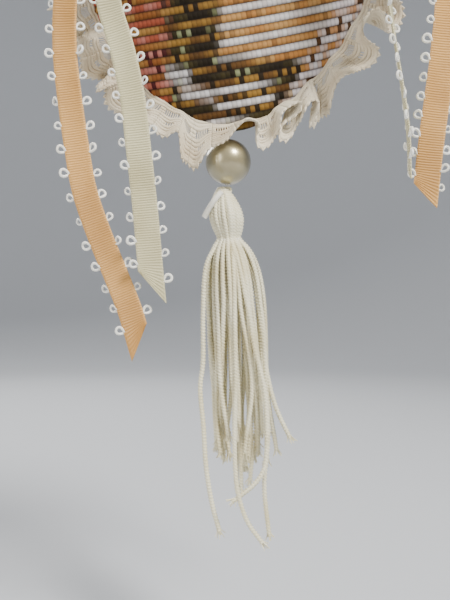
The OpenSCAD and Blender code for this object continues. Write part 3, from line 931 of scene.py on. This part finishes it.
# %% Tapestry finish
def tapestry_finish():
    g = shader("tapestry_weave", Roughness=0.85, Specular_IOR_Level=0.2, Sheen_Weight=0.04)
    uv = g.node("ShaderNodeUVMap", {"uv_map": "cloth"})
    axes = g.node("ShaderNodeSeparateXYZ", {}, {0: uv})
    u, v = (axes.also("X") - 0.5) * SHEET, (axes.also("Y") - 0.5) * SHEET
    row = (v / ROW_H).floor()
    odd = (row * 0.5).part()
    phase = u / STITCH_W + odd
    stitch = (phase + 0.5).floor()
    cu, cv = (stitch - odd) * STITCH_W, (row + 0.5) * ROW_H
    x = cu * math.cos(ROW_TILT) - cv * math.sin(ROW_TILT)
    h = cu * math.sin(ROW_TILT) + cv * math.cos(ROW_TILT)

    def spot_noise(a, b, c, scale, detail=1.0):
        return g.noise(g.node("ShaderNodeCombineXYZ", {}, {0: a, 1: b, 2: c}), scale, detail)

    run = g.step(spot_noise(cu * 0.24, row * 3.7, 1.0, 1.0), 0.38, 0.62)
    swap = g.step(spot_noise(cu * 0.4, row * 5.3, 9.0, 1.0), 0.5, 0.54)
    wobble = (spot_noise(cu * 0.2, cv * 0.3, 4.0, 1.0, 2.0) - 0.5) * 7
    dice = g.node("ShaderNodeTexWhiteNoise", {"noise_dimensions": "2D"}, {
        "Vector": g.node("ShaderNodeCombineXYZ", {}, {0: cu, 1: cv, 2: 0.0})})
    chance = dice.also("Value")
    light_row = odd.above(0.25)
    turns = (stitch * 0.5).part().above(0.25)
    dots = turns * swap

    def yarn(first, second, dot, share=dots):
        return g.mix(share, g.mix(run, first, second), dot)

    rose = g.mix(light_row, yarn((0.27, 0.09, 0.02), (0.38, 0.20, 0.05), (0.10, 0.02, 0.01)),
                 yarn((0.50, 0.19, 0.15), (0.36, 0.08, 0.04), (0.07, 0.01, 0.012)))
    olive = g.mix(light_row, yarn((0.11, 0.05, 0.012), (0.30, 0.16, 0.03), (0.02, 0.012, 0.004)),
                  yarn((0.012, 0.008, 0.003), (0.045, 0.034, 0.010), (0.24, 0.26, 0.13),
                       dots * chance.above(0.5)))
    stripes = g.mix(light_row, yarn((0.42, 0.18, 0.045), (0.50, 0.27, 0.09), (0.13, 0.06, 0.02),
                                    dots * 0.5),
                    yarn((0.76, 0.72, 0.69), (0.58, 0.52, 0.48), (0.62, 0.55, 0.52)))
    pale = g.mix(light_row * (1 - swap), g.mix(run, (0.72, 0.68, 0.70), (0.46, 0.21, 0.06)),
                 yarn((0.76, 0.71, 0.75), (0.66, 0.60, 0.60), (0.52, 0.42, 0.40)))
    pale = g.mix(chance.above(0.93), pale, (0.09, 0.04, 0.015))

    def between(value, low, high):
        return g.step(value, low - 0.8, low + 0.8) * (1 - g.step(value, high - 0.8, high + 0.8))

    above = between(h + wobble * 0.5, 14.5, 32) + between(h + wobble * 0.5, 47, 80)
    body = g.mix(above * g.step(x + wobble * 0.4, -2.5, -0.5), olive, stripes)
    body = g.mix(g.step(x - (h - 4) * 0.5 + wobble * 0.6, 8.0, 9.5), body, pale)
    body = g.mix(1 - g.step(x + wobble * 0.6, -11.5, -9.5), body, rose)
    white = g.mix(turns * 0.5, (0.74, 0.71, 0.71), (0.48, 0.44, 0.42))
    marks = (between(x, -10.8, -6.8) * between(h, 9.8, 12.4)
             + between(x, -8.2, -2.6) * between(h, 6.4, 8.6)
             + between(x, -2.0, 8.0) * between(h, 4.6, 9.6) * light_row
             + between(x, -3.4, 6.0) * between(h, 0.6, 2.4) * light_row
             + between(x, -9.0, 3.0) * between(h, 38.0, 42.0) * light_row)
    colour = g.mix(marks.least(1.0), body, white)

    across = (v / ROW_H).part()
    oval = ((phase * math.pi).cos().size() ** 0.5) * 0.55 + 0.45
    oval = oval * ((across * math.pi).sin() ** 0.75)
    fibre = g.noise(g.spot, 4200)
    # Painted shade: each stitch darkens towards near black where its oval dips into the gaps
    # between stitches and rows; a fine fibre noise also mixes a little of the same near black in
    dark = g.mix(0.85, colour, (0.01, 0.006, 0.004))
    shaded = g.mix(((1 - oval) * 1.1).least(1.0) ** 1.4, colour, dark)
    g.feed(Base_Color=g.mix(fibre * 0.25, shaded, dark), Roughness=0.78 + 0.15 * fibre)
    g.bump(oval * 0.7 + fibre * 0.3, 0.00012, 0.6)
    return g.material


TAPESTRY = tapestry_finish()
front_cloth = panel("front_cloth", faces[:front_count], 2)
back_cloth = panel("back_cloth", faces[front_count:], 2)
for piece, node in ((front_cloth, "front_panel"), (back_cloth, "back_panel")):
    piece.data.materials.append(TAPESTRY)
    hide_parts(node)
print("panels:", len(front_cloth.data.polygons), "and", len(back_cloth.data.polygons), "faces")

# %% [markdown]
# The wadding is out of sight inside the cloth. It is the same shape, drawn in a little, with the
# lumps that loose fibre makes.

# %% Wadding
def wadding():
    core = (shape - [0, 0, 38]) * [0.9, 0.88, 0.9] + [0, 0, 38]
    piece = meshed("wadding", in_frame(core), faces)
    mesh = piece.data
    for v in mesh.vertices:
        v.co -= v.normal * (0.5 + 0.5 * noise.noise(v.co * 160)) * MM
    mesh.shade_smooth()
    g = shader("wadding_fibre", Roughness=0.95)
    fluff = g.noise(g.spot, 900, 5.0)
    g.feed(Base_Color=g.mix(fluff, (0.80, 0.79, 0.76), (0.95, 0.95, 0.93)))
    g.bump(fluff, 0.0005, 0.8)
    mesh.materials.append(g.material)
    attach(piece, "heart")
    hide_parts("stuffing")


wadding()
print("wadding made")

# %% [markdown]
# ## The lace
# Cotton lace is made flat on a machine, as one long strip of the same fan. It is then gathered on a
# thread and sewn into the seam. The strip is built the same way: one fan in thread, repeated by
# Geometry Nodes along a straight strip, then bent round the heart in ruffles.

# %% One fan of lace
FAN_W, LACE_W = 6.0, 9.5


def thread_tube(points, radius, sides=5):
    """Points and faces of a thin tube along a flat line."""
    p = np.array(points, float)
    along = unit(np.gradient(p, axis=0))
    side = np.cross(along, [0, 0, 1])
    up = np.cross(side, along)
    turn = np.linspace(0, math.tau, sides, endpoint=False)
    ring_points = (p[:, None] + radius * (np.cos(turn)[None, :, None] * side[:, None]
                                          + 0.72 * np.sin(turn)[None, :, None] * up[:, None]))
    n = len(p)
    quads = [(i * sides + k, i * sides + (k + 1) % sides, (i + 1) * sides + (k + 1) % sides,
              (i + 1) * sides + k) for i in range(n - 1) for k in range(sides)]
    quads += [tuple(range(sides))[::-1], tuple((n - 1) * sides + k for k in range(sides))]
    return ring_points.reshape(-1, 3), quads


def lace_fan():
    """Threads of one fan, in millimetres: x along the strip and y from the heading to the edge."""
    threads = []

    def bar(points, radius, sides=5):
        threads.append(thread_tube(points, radius, sides))

    def scallop(x, h):
        return h + 0.45 * (h / 8.6) ** 2 * math.cos(math.tau * x / FAN_W)

    def run(h, radius, low=-FAN_W / 2, high=FAN_W / 2):
        xs = np.linspace(low, high, 3 + round((high - low) * 1.6))
        bar([(x, scallop(x, h), 0) for x in xs], radius)

    # Rows of close stitches, left open where the pattern has its two groups of slits
    for k in range(14):
        h = 0.62 * k
        if k in (6, 7):
            run(h, 0.33, -FAN_W / 2, -2.1)
            run(h, 0.33, 2.1, FAN_W / 2)
        elif k == 10:
            run(h, 0.33, -FAN_W / 2, -1.0)
            run(h, 0.33, 1.0, FAN_W / 2)
        else:
            run(h, 0.36)
    for k in range(10):
        x = -FAN_W / 2 + (k + 0.5) * FAN_W / 10
        heights = np.arange(0.2, 8.5, 0.9)
        bar([(x, scallop(x, h), 0.16 * (-1) ** j) for j, h in enumerate(heights)], 0.17, 4)
    run(8.5, 0.42)
    for k in range(6):
        x = -FAN_W / 2 + k + 0.5
        foot = scallop(x, 8.6)
        bar([(x - 0.35, foot, 0), (x, scallop(x, 9.15), 0.03), (x + 0.35, foot, 0)], 0.27)
    points, quads, first = [], [], 0
    for p, q in threads:
        points.append(p)
        quads += [tuple(first + k for k in face) for face in q]
        first += len(p)
    return meshed("lace_fan", np.vstack(points) * MM, quads)


# %% The flat strip
def strip_tree():
    g, given = group("lace_strip", Geometry=["Fan"], Int=["Count"], Float=["Fan width"],
                     Material=["Finish"])
    step = g.node("ShaderNodeCombineXYZ", {}, {0: given.also("Fan width")})
    line = g.node("GeometryNodeMeshLine", {}, {"Count": given.also("Count"), "Offset": step})
    fans = g.node("GeometryNodeInstanceOnPoints", {}, {
        "Points": line, "Instance": given.also("Fan")})
    return grouped(g, given, g.node("GeometryNodeRealizeInstances", {}, {"Geometry": fans}))


def lace_finish():
    g = shader("cotton_lace", Roughness=0.8, Specular_IOR_Level=0.3, Sheen_Weight=0.08)
    age = g.noise(g.spot, 110)
    fibre = g.noise(g.spot, 3600)
    old = g.mix(g.step(age, 0.35, 0.75), (0.70, 0.62, 0.47), (0.50, 0.40, 0.26))
    g.feed(Base_Color=g.mix(fibre * 0.3, old, (0.82, 0.76, 0.62)), Roughness=0.72 + 0.2 * fibre)
    g.bump(fibre, 0.0001, 0.7)
    return g.material


# %% [markdown]
# The seam gives the line that the lace follows. A ruffle leans to the front, then to the back, and
# at each turn it also folds over sideways, so from the front its edge draws a row of S shapes. The
# turns wander in size, because the gathering thread never pulls evenly. A formula gives most of
# the ruffle. Its folds round the point of the heart are listed one by one.

# %% Gather the strip round the heart
RUFFLE = 8.0     # millimetres of seam to a fold
LINE_GAP = 0.25  # millimetres between the points of the line that the lace follows
lap = np.array([np.mean([seam_line[(k + j) % rim] for j in (-2, -1, 0, 1, 2)], axis=0)
                for k in range(rim)])
top_gap = (np.abs(lap[:, 0]) < 7.0) & (lap[:, 2] > WIDE_H)
order = [k for k in [*range(rim // 2, rim), *range(rim // 2)] if not top_gap[k]]
lace_line = spaced(smooth(lap[order][::2], 4), LINE_GAP)
lace_reach = np.arange(len(lace_line)) * LINE_GAP
lace_along = unit(np.gradient(lace_line, axis=0))
lace_out = unit(np.cross(lace_along, [0, 1, 0]))
if (lace_out[len(lace_out) // 2] @ np.array([0, 0, 1])) > 0:
    lace_out = -lace_out
tip_at = lace_reach[int(np.argmin(lace_line[:, 2]))]
seam_at = np.arange(0, lace_reach[-1], 0.5)
LACE_OUT = 7.8   # how far the lace's edge stands out from the seam, in millimetres
ROOT = -1.7      # where it comes free, inside the seam

# The folds of the edge that are listed one by one: how far along the seam, counted from the heart's
# point, and then where the edge lies, as x, y and height from that point
EDGE_FOLDS = smooth([
    [-17, -17, -2.5, 0], [-13.5, -13.5, -3, -1], [-12, -11.5, -3.5, -0.5], [-10.5, -10.5, -4, -1.5],
    [-9, -9.5, -4.5, -6.5], [-8, -8.5, -5, -8], [-7.2, -7.5, -5, -8.5], [-6.4, -6.5, -5, -7.5],
    [-5.6, -5.5, -5, -6], [-4.6, -4.5, -5, -5], [-1.4, -1, -5.5, -3], [0.4, 0.5, -6, -2],
    [2.6, 3, -7, 0.5], [4.4, 4.5, -7, 1], [6, 6.5, -7, 0], [7.2, 6, -6, -3], [8, 7, -5, -4],
    [9.2, 9, -5, -3.5], [10.6, 10.5, -5.5, -1], [11.6, 11, -6.5, 2], [12.6, 12, -7, 3],
    [14, 14.5, -7.5, 4.5], [14.8, 15, -7, 3.5], [15.6, 14, -6.5, 2], [16.4, 11.5, -6, 0],
    [17, 11, -5.5, -1.5], [17.6, 12, -5, -2], [18.4, 13.5, -5, -1.5], [19.6, 15, -5.5, 1],
    [20.6, 16, -6.5, 3.5], [21.8, 17.5, -7, 5], [23, 19, -7, 4.5], [23.8, 18.5, -6, 2.5],
    [24.6, 17.5, -5, 1.5], [25.4, 18.5, -4.5, 1], [27.4, 21, -5, 3.5], [29.2, 21.5, -6, 6.5]], 6)


def rise(x, low, high):
    t = np.clip((x - low) / (high - low), 0, 1)
    return t * t * (3 - 2 * t)


def ruffle(s, v):
    """Where the gathered strip lies: s along the seam and v out from it, in millimetres."""
    k = np.clip(s / LINE_GAP, 0, len(lace_line) - 1.001)
    low_k = k.astype(int)
    share = (k - low_k)[:, None]

    def at(table):
        return table[low_k] * (1 - share) + table[low_k + 1] * share

    foot, along, out = at(lace_line), unit(at(lace_along)), unit(at(lace_out))
    slow = np.array([noise.noise(Vector((a * 0.05, 1.7, 0.3))) for a in s])
    loud = np.array([noise.noise(Vector((a * 0.09, 5.1, 2.2))) for a in s])
    phase = math.tau * (s - tip_at - 8) / RUFFLE + 3.0 * slow
    from_tip = s - tip_at
    # On the right the ruffle curls to the front, so its edge is what shows
    curled = rise(from_tip, 4, 9) * (1 - rise(from_tip, 58, 72))
    over_bead = rise(from_tip, -3.5, -1.5) * (1 - rise(from_tip, 3.5, 6.5))
    lean = np.radians(-50 * curled + (40 + 24 * loud - 16 * curled) * np.sin(phase))
    lean = lean * (1 - over_bead) + 0.9 * over_bead
    w = np.clip(v / LACE_W, 0, 1.1)
    free = np.maximum(v - ROOT, 0)
    narrow = np.where(foot[:, 2] > WIDE_H, np.clip((np.abs(foot[:, 0]) - 3) / 12, 0.25, 1), 1)
    v, free = v * narrow, free * narrow
    curl = (w**1.5 * np.sin(2 * phase) * (1 - over_bead)
            * (1.2 - (3.0 + 1.6 * loud) * curled) * narrow)
    bend = lean * (0.55 + 0.45 * w)
    spot = foot + out * (v - free + free * np.cos(bend))[:, None] + along * curl[:, None]
    spot[:, 1] += free * np.sin(bend)
    laid = rise(from_tip, -17, -14) * (1 - rise(from_tip, 27.5, 31))
    edge = np.stack([np.interp(from_tip, EDGE_FOLDS[:, 0], column)
                     for column in EDGE_FOLDS[:, 1:].T], 1)
    root = foot + out * ROOT
    toward = (free / (LACE_OUT - ROOT))[:, None]
    corner = root + (edge - root) * toward + out * (np.minimum(v - ROOT, 0))[:, None]
    share = laid[:, None]
    return spot * (1 - share) + corner * share


# The free edge takes as much strip as its folds need, and the gathering takes up the rest
edge_line = ruffle(seam_at, np.full(len(seam_at), LACE_OUT * 0.72))
edge_step = np.linalg.norm(np.diff(edge_line, axis=0), axis=1)
strip_at = np.concatenate([[0], np.cumsum(np.clip(edge_step, 0.45, 1.8))])
fan_count = round(strip_at[-1] / FAN_W)
print("seam for lace:", round(lace_reach[-1]), "mm, strip of", fan_count, "fans")


def gathered_lace():
    strip = grown(lace_fan(), "lace_edge", strip_tree(), {
        "Count": fan_count, "Fan width": FAN_W * MM, "Finish": lace_finish()})
    mesh = strip.data
    co = np.zeros(len(mesh.vertices) * 3)
    mesh.vertices.foreach_get("co", co)
    co = co.reshape(-1, 3) / MM
    s = np.interp((co[:, 0] + FAN_W / 2) / (fan_count * FAN_W) * strip_at[-1], strip_at, seam_at)
    v = co[:, 1] * 1.3 - 3.2
    spot = ruffle(s, v)
    step = 0.05
    face = unit(np.cross(ruffle(s + step, v) - spot, ruffle(s, v + step) - spot))
    spot = spot + face * co[:, 2:3]
    mesh.vertices.foreach_set("co", in_frame(spot).astype(np.float32).ravel())
    mesh.shade_smooth()
    mesh.update()
    outward(strip)
    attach(strip, "heart")
    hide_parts("lace_ruffle")
    return strip


lace = gathered_lace()
print("lace:", len(lace.data.polygons), "faces")

# %% [markdown]
# ## The bow, its stitches and the hanging loop
# The bow is folded from the same two ribbons as the ends, so it uses the same maker. A band of
# cream ribbon wraps the middle. The hanging loop is spun cord, knotted just above the notch.

# %% Bow loops
bow_low, bow_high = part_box("bow_knot")
bow = np.array((bow_low + bow_high) / 2) / MM - [0, 0, point_z / MM]


def drop_outline(length, depth, count=60):
    """The side view of a bow loop, as a drop with its point at the knot."""
    t = np.linspace(math.radians(8), math.radians(352), count)
    return np.column_stack([length * (1 - np.cos(t)) / 2,
                            depth / 2 * np.sin(t) * np.sin(t / 2) ** 0.8, np.zeros(count)])


def turned(points, rise, forward, side):
    """Points turned about the knot by two angles in degrees, and mirrored for the other side."""
    cf, sf = math.cos(math.radians(forward)), math.sin(math.radians(forward))
    cr, sr = math.cos(math.radians(rise)), math.sin(math.radians(rise))
    x, y, z = points.T
    x, y = x * cf + y * sf, -x * sf + y * cf
    x, z = x * cr - z * sr, x * sr + z * cr
    return np.column_stack([x * side, y, z])


# Each loop's side, length, depth, and how many degrees it rises and comes forward
BOWS = {
    "peach_loop_left": (-1, 21, 8, 14, 2), "peach_loop_right": (1, 21, 8, 14, 2),
    "cream_loop_left": (-1, 17, 7, 50, 4), "cream_loop_right": (1, 17, 7, 50, 4),
}
for seed, (node, (side, length, depth, rise, forward)) in enumerate(BOWS.items()):
    line = drop_outline(length, depth)
    width = turned(np.tile([0.0, 0, 1], (len(line), 1)), rise, forward, side)
    line = turned(line, rise, forward, side) + bow
    path = spaced(np.column_stack([line, width]), RIB / 5)
    line, width = path[:, :3], path[:, 3:]
    face = np.cross(width, unit(np.gradient(line, axis=0)))
    colour = node.split("_")[0]
    loop, across, out, reach = ribbon_mesh(
        "bow_" + node, line, face, PEACH if colour == "peach" else CREAM)
    loops = picots(loop.name + "_picots", line, across, out, reach, 20 + seed)
    for piece in (loop, loops):
        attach(piece, "heart")
        colour + "_ribbon"
    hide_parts(node)
    print(loop.name, round(reach[-1]), "mm of ribbon")

# %% Bow band
turn = np.linspace(0, math.tau * 1.04, 300)
radius = 2.35 + 0.25 * np.cos(5 * turn) + 0.25 * turn / math.tau
band_line = np.column_stack([radius * np.sin(turn), radius * np.cos(turn), np.zeros(300)]) + bow
band_path = spaced(band_line, RIB / 5)
band_face = unit((band_path - bow) * [1, 1, 0])
band, *_ = ribbon_mesh("bow_band", band_path, band_face, CREAM, cup=-0.5)
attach(band, "heart")
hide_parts("bow_knot")


# %% Stitches and threads
def sewn(name, points, diameter=0.4, gap=0.0002, relief=0.05, sides=6, steps=4):
    """A length of two-ply sewing thread along points in metres."""
    path = spaced(np.array([list(p) for p in points], float), gap)
    return make_cord(name, path, THREAD_FINISH, diameter, stitch=0.5, relief=relief, plies=2,
                     knitted=0, sides=sides, steps=steps)


def thread_run(name, points, body, node, diameter):
    """A sewing thread that is a piece of its own."""
    piece = sewn(name, points, diameter)
    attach(piece, body)
    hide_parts(node)


bars = [sewn(f"bar_{k}", [place(x, bow[1] + 2.4, 60), place(x * 1.3, bow[1] + 7, 60.8),
                          place(x * 1.7, -1.2, 60)])
        for k, x in enumerate((-1.0, -0.3, 0.4, 1.1))]
bow_sewing = joined("bow_sewing", bars)
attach(bow_sewing, "heart")
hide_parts("bow_stitches")

running = []
for k in range(0, len(lace_line) - 14, 22):
    a, b = lace_line[k] - lace_out[k] * 1.1, lace_line[k + 13] - lace_out[k + 13] * 1.1
    ends = [place(p[0], 0, p[2]) for p in (a, (a + b) / 2, b)]
    running.append(sewn(f"run_{k}", ends, 0.26, gap=0.0003, relief=0.04, sides=5, steps=2))
gathers = joined("gathering_stitches", running)
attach(gathers, "heart")
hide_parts("gathering_thread")

closing = []
start = int(len(lace_line) * 0.62)
for k in range(9):
    i = start + 9 * k
    a = lace_line[i] - lace_out[i] * 1.9 + [0, 4.4, 0]
    b = lace_line[i + 5] + lace_out[i + 5] * 0.2 + [0, 0.9, 0]
    mid = (a + b) / 2 + [0, 1.2, 0]
    closing.append(sewn(f"close_{k}", smooth([place(*p) for p in (a, mid, b)], 5)))
closing = joined("closing_sewing", closing)
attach(closing, "heart")
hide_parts("closing_stitches")
print("stitches made")

# %% [markdown]
# The hanging loop is two legs of one cord and a round top that has slipped over the hook. Its ends
# are knotted together, and the tails are sewn into the seam. The knot is a trefoil, which is what
# an overhand knot becomes when it is pulled tight.

# %% Hanging loop, knot and tails
hang_low, hang_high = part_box("hanger_cord")
loop_radius = (hang_high.x - hang_low.x) / 2 - 0.75 * MM
centre_z = hang_high.z - 0.75 * MM - loop_radius
foot_x = 0.95 * MM
fall = centre_z - hang_low.z
slope = math.asin(loop_radius / math.hypot(foot_x, fall)) - math.atan(foot_x / fall)
arc = [(loop_radius * math.cos(a), 0, centre_z + loop_radius * math.sin(a))
       for a in np.linspace(-slope, math.pi + slope, 40)]
foot_z = hang_low.z + 0.1 * MM
hang_path = spaced(np.array([(foot_x, 0, foot_z), *arc, (-foot_x, 0, foot_z)]), 0.0005)
hanger = make_cord("hanging_loop_cord", hang_path, HANGER_FINISH, 1.5, stitch=2.1, relief=0.34,
                   plies=3, knitted=0, sides=18, steps=16)
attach(hanger, "hanger")
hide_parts("hanger_cord")

knot_low, knot_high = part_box("hanger_knot")
knot_middle = np.array((knot_low + knot_high) / 2)
t = np.linspace(0, math.tau, 90)
knot_shape = np.column_stack([np.sin(t) + 2 * np.sin(2 * t), -np.sin(3 * t) * 0.9,
                              np.cos(t) - 2 * np.cos(2 * t)])
knot_path = knot_middle + knot_shape / 3 * 1.15 * MM
knot = make_cord("hanging_knot", spaced(knot_path, 0.0002), HANGER_FINISH, 1.35, stitch=2.1,
                 relief=0.25, plies=3, knitted=0, sides=12, steps=12)
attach(knot, "knot")
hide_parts("hanger_knot")

tails_low, tails_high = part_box("hanger_tails")
tails = []
for side in (-1, 1):
    route = np.array([(side * 0.45 * MM, 0, tails_high.z - 0.2 * MM),
                      (side * 0.75 * MM, 0, (tails_low.z + tails_high.z) / 2),
                      (side * 0.8 * MM, 0, tails_low.z + 0.2 * MM)])
    tails.append(make_cord(f"tail_{side}", spaced(smooth(route, 5), 0.0003), HANGER_FINISH, 1.15,
                           stitch=2.1, relief=0.2, plies=3, knitted=0, sides=10, steps=10))
tails = joined("hanging_cord_tails", tails)
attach(tails, "heart")
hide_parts("hanger_tails")
print("hanging loop:", round(len(hang_path) * 0.5), "mm of cord")

# %% [markdown]
# ## The pearl and its thread
# The bead is turned with a hole through it, so the mesh is a profile spun round the thread: out
# along the rim of the hole, over the ball and back up inside. A pearl finish is clear lacquer over
# pale flakes: a coat over a slightly metallic body, and a thin film for its colours.

# %% Pearl
bead_low, bead_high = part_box("pearl_bead")
bead_middle = (bead_low + bead_high) / 2
bead_r = 5.0 * MM
hole_r = 0.6 * MM


def turned_points(profile, around):
    """A profile of radius and height pairs, turned round the vertical axis."""
    p = np.array(profile)
    turn = np.linspace(0, math.tau, around, endpoint=False)
    return np.stack([p[:, 0] * np.cos(turn)[:, None], p[:, 0] * np.sin(turn)[:, None],
                     np.tile(p[:, 1], (around, 1))], -1).reshape(-1, 3)


def spun(name, profile, around):
    """A closed profile, turned round into a solid."""
    n = len(profile)
    quads = [(i * n + k, i * n + (k + 1) % n, ((i + 1) % around) * n + (k + 1) % n,
              ((i + 1) % around) * n + k) for i in range(around) for k in range(n)]
    piece = meshed(name, turned_points(profile, around), quads)
    piece.data.shade_smooth()
    outward(piece)
    return piece


edge_angle = math.asin((hole_r + 0.18 * MM) / bead_r)
profile = [(bead_r * math.sin(a), bead_middle.z + bead_r * math.cos(a))
           for a in np.linspace(edge_angle, math.pi - edge_angle, 56)]
rim_z = bead_r * math.cos(edge_angle)
profile += [(hole_r + 0.06 * MM, bead_middle.z - rim_z + 0.04 * MM),
            (hole_r, bead_middle.z - rim_z + 0.2 * MM),
            (hole_r, bead_middle.z + rim_z - 0.2 * MM),
            (hole_r + 0.06 * MM, bead_middle.z + rim_z - 0.04 * MM)]
pearl = spun("pearl", profile, 72)


def pearl_finish():
    g = shader("pearl_lacquer", Metallic=0.55, Roughness=0.32, Coat_Weight=1.0, Coat_Roughness=0.06,
               Coat_IOR=1.6, Thin_Film_Thickness=420.0, Thin_Film_IOR=1.42)
    cloud = g.noise(g.spot, 160, 3.0)
    flake = g.noise(g.spot, 6000, 1.0)
    base = g.mix(g.step(cloud, 0.3, 0.75), (0.40, 0.345, 0.20), (0.27, 0.225, 0.115))
    g.feed(Base_Color=g.mix(flake * 0.15, base, (0.60, 0.56, 0.44)), Roughness=0.24 + 0.16 * cloud)
    g.bump(flake, 0.00002, 0.2)
    return g.material


pearl.data.materials.append(pearl_finish())
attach(pearl, "pearl")
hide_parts("pearl_bead")
thread_low, thread_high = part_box("pendant_thread")
thread_run("pendant_cord", [(0, 0, thread_high.z), (0, 0, thread_low.z)], "thread",
           "pendant_thread", 0.8)
anchor_low, anchor_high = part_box("pendant_anchor")
anchor_z = anchor_high.z - 1.1 * MM
coil = [(0.7 * MM * math.cos(a), 0.7 * MM * math.sin(a), anchor_z - 0.5 * MM + a * 0.05 * MM)
        for a in np.linspace(0, math.tau * 3, 60)]
knot_line = [(0, 0, anchor_low.z), (0.2 * MM, 0, anchor_z - 1.2 * MM), *coil]
thread_run("pendant_stop_knot", knot_line, "heart", "pendant_anchor", 0.7)
print("pearl and threads made")

# %% [markdown]
# ## Stage and light
# A pale sweep stands behind and under the ornament, so it reads from every side, and three large
# soft lights model the lace and the stitches without hard shadows.

# %% Sweep
floor_z = cad_box[0][2] - 0.03


def sweep():
    profile = [(0.001, floor_z), (0.35, floor_z), (0.7, floor_z)]
    bend = 0.5
    profile += [(0.7 + bend * math.sin(a), floor_z + bend * (1 - math.cos(a)))
                for a in np.linspace(0.1, math.pi / 2, 12)]
    profile += [(1.2, floor_z + 1.4)]
    around, n = 64, len(profile)
    quads = [(i * n + k, ((i + 1) % around) * n + k, ((i + 1) % around) * n + k + 1, i * n + k + 1)
             for i in range(around) for k in range(n - 1)]
    quads.append([i * n for i in range(around)][::-1])
    piece = meshed("sweep", turned_points(profile, around), quads)
    piece.data.shade_smooth()
    g = shader("sweep_paper", Roughness=0.9)
    g.feed(Base_Color=g.mix(g.noise(g.spot, 300) * 0.1, (0.52, 0.54, 0.57), (0.60, 0.61, 0.63)))
    piece.data.materials.append(g.material)


sweep()


# %% Lights
def soft_light(name, spot, size, watts, colour):
    light = bpy.data.lights.new(name, "AREA")
    light.shape, light.size, light.energy, light.color = "DISK", size, watts, colour
    holder = linked(name, light)
    holder.location = spot
    target = place(0, 0, -10)
    holder.rotation_euler = (target - holder.location).to_track_quat("-Z", "Y").to_euler()


soft_light("key", place(330, -400, 480), 0.22, 10.0, (1.0, 0.98, 0.95))
soft_light("fill", place(-520, -380, 120), 0.5, 2.6, (1.0, 0.96, 0.9))
soft_light("rim", place(-250, 480, 420), 0.5, 4.5, (1.0, 0.98, 0.95))
soft_light("low", place(120, -300, -260), 0.4, 0.7, (1.0, 0.97, 0.92))
world = bpy.data.worlds.new("studio")
world.use_nodes = True
world.node_tree.nodes["Background"].inputs["Color"].default_value = (0.9, 0.93, 1.0, 1)
world.node_tree.nodes["Background"].inputs["Strength"].default_value = 0.2
bpy.context.scene.world = world
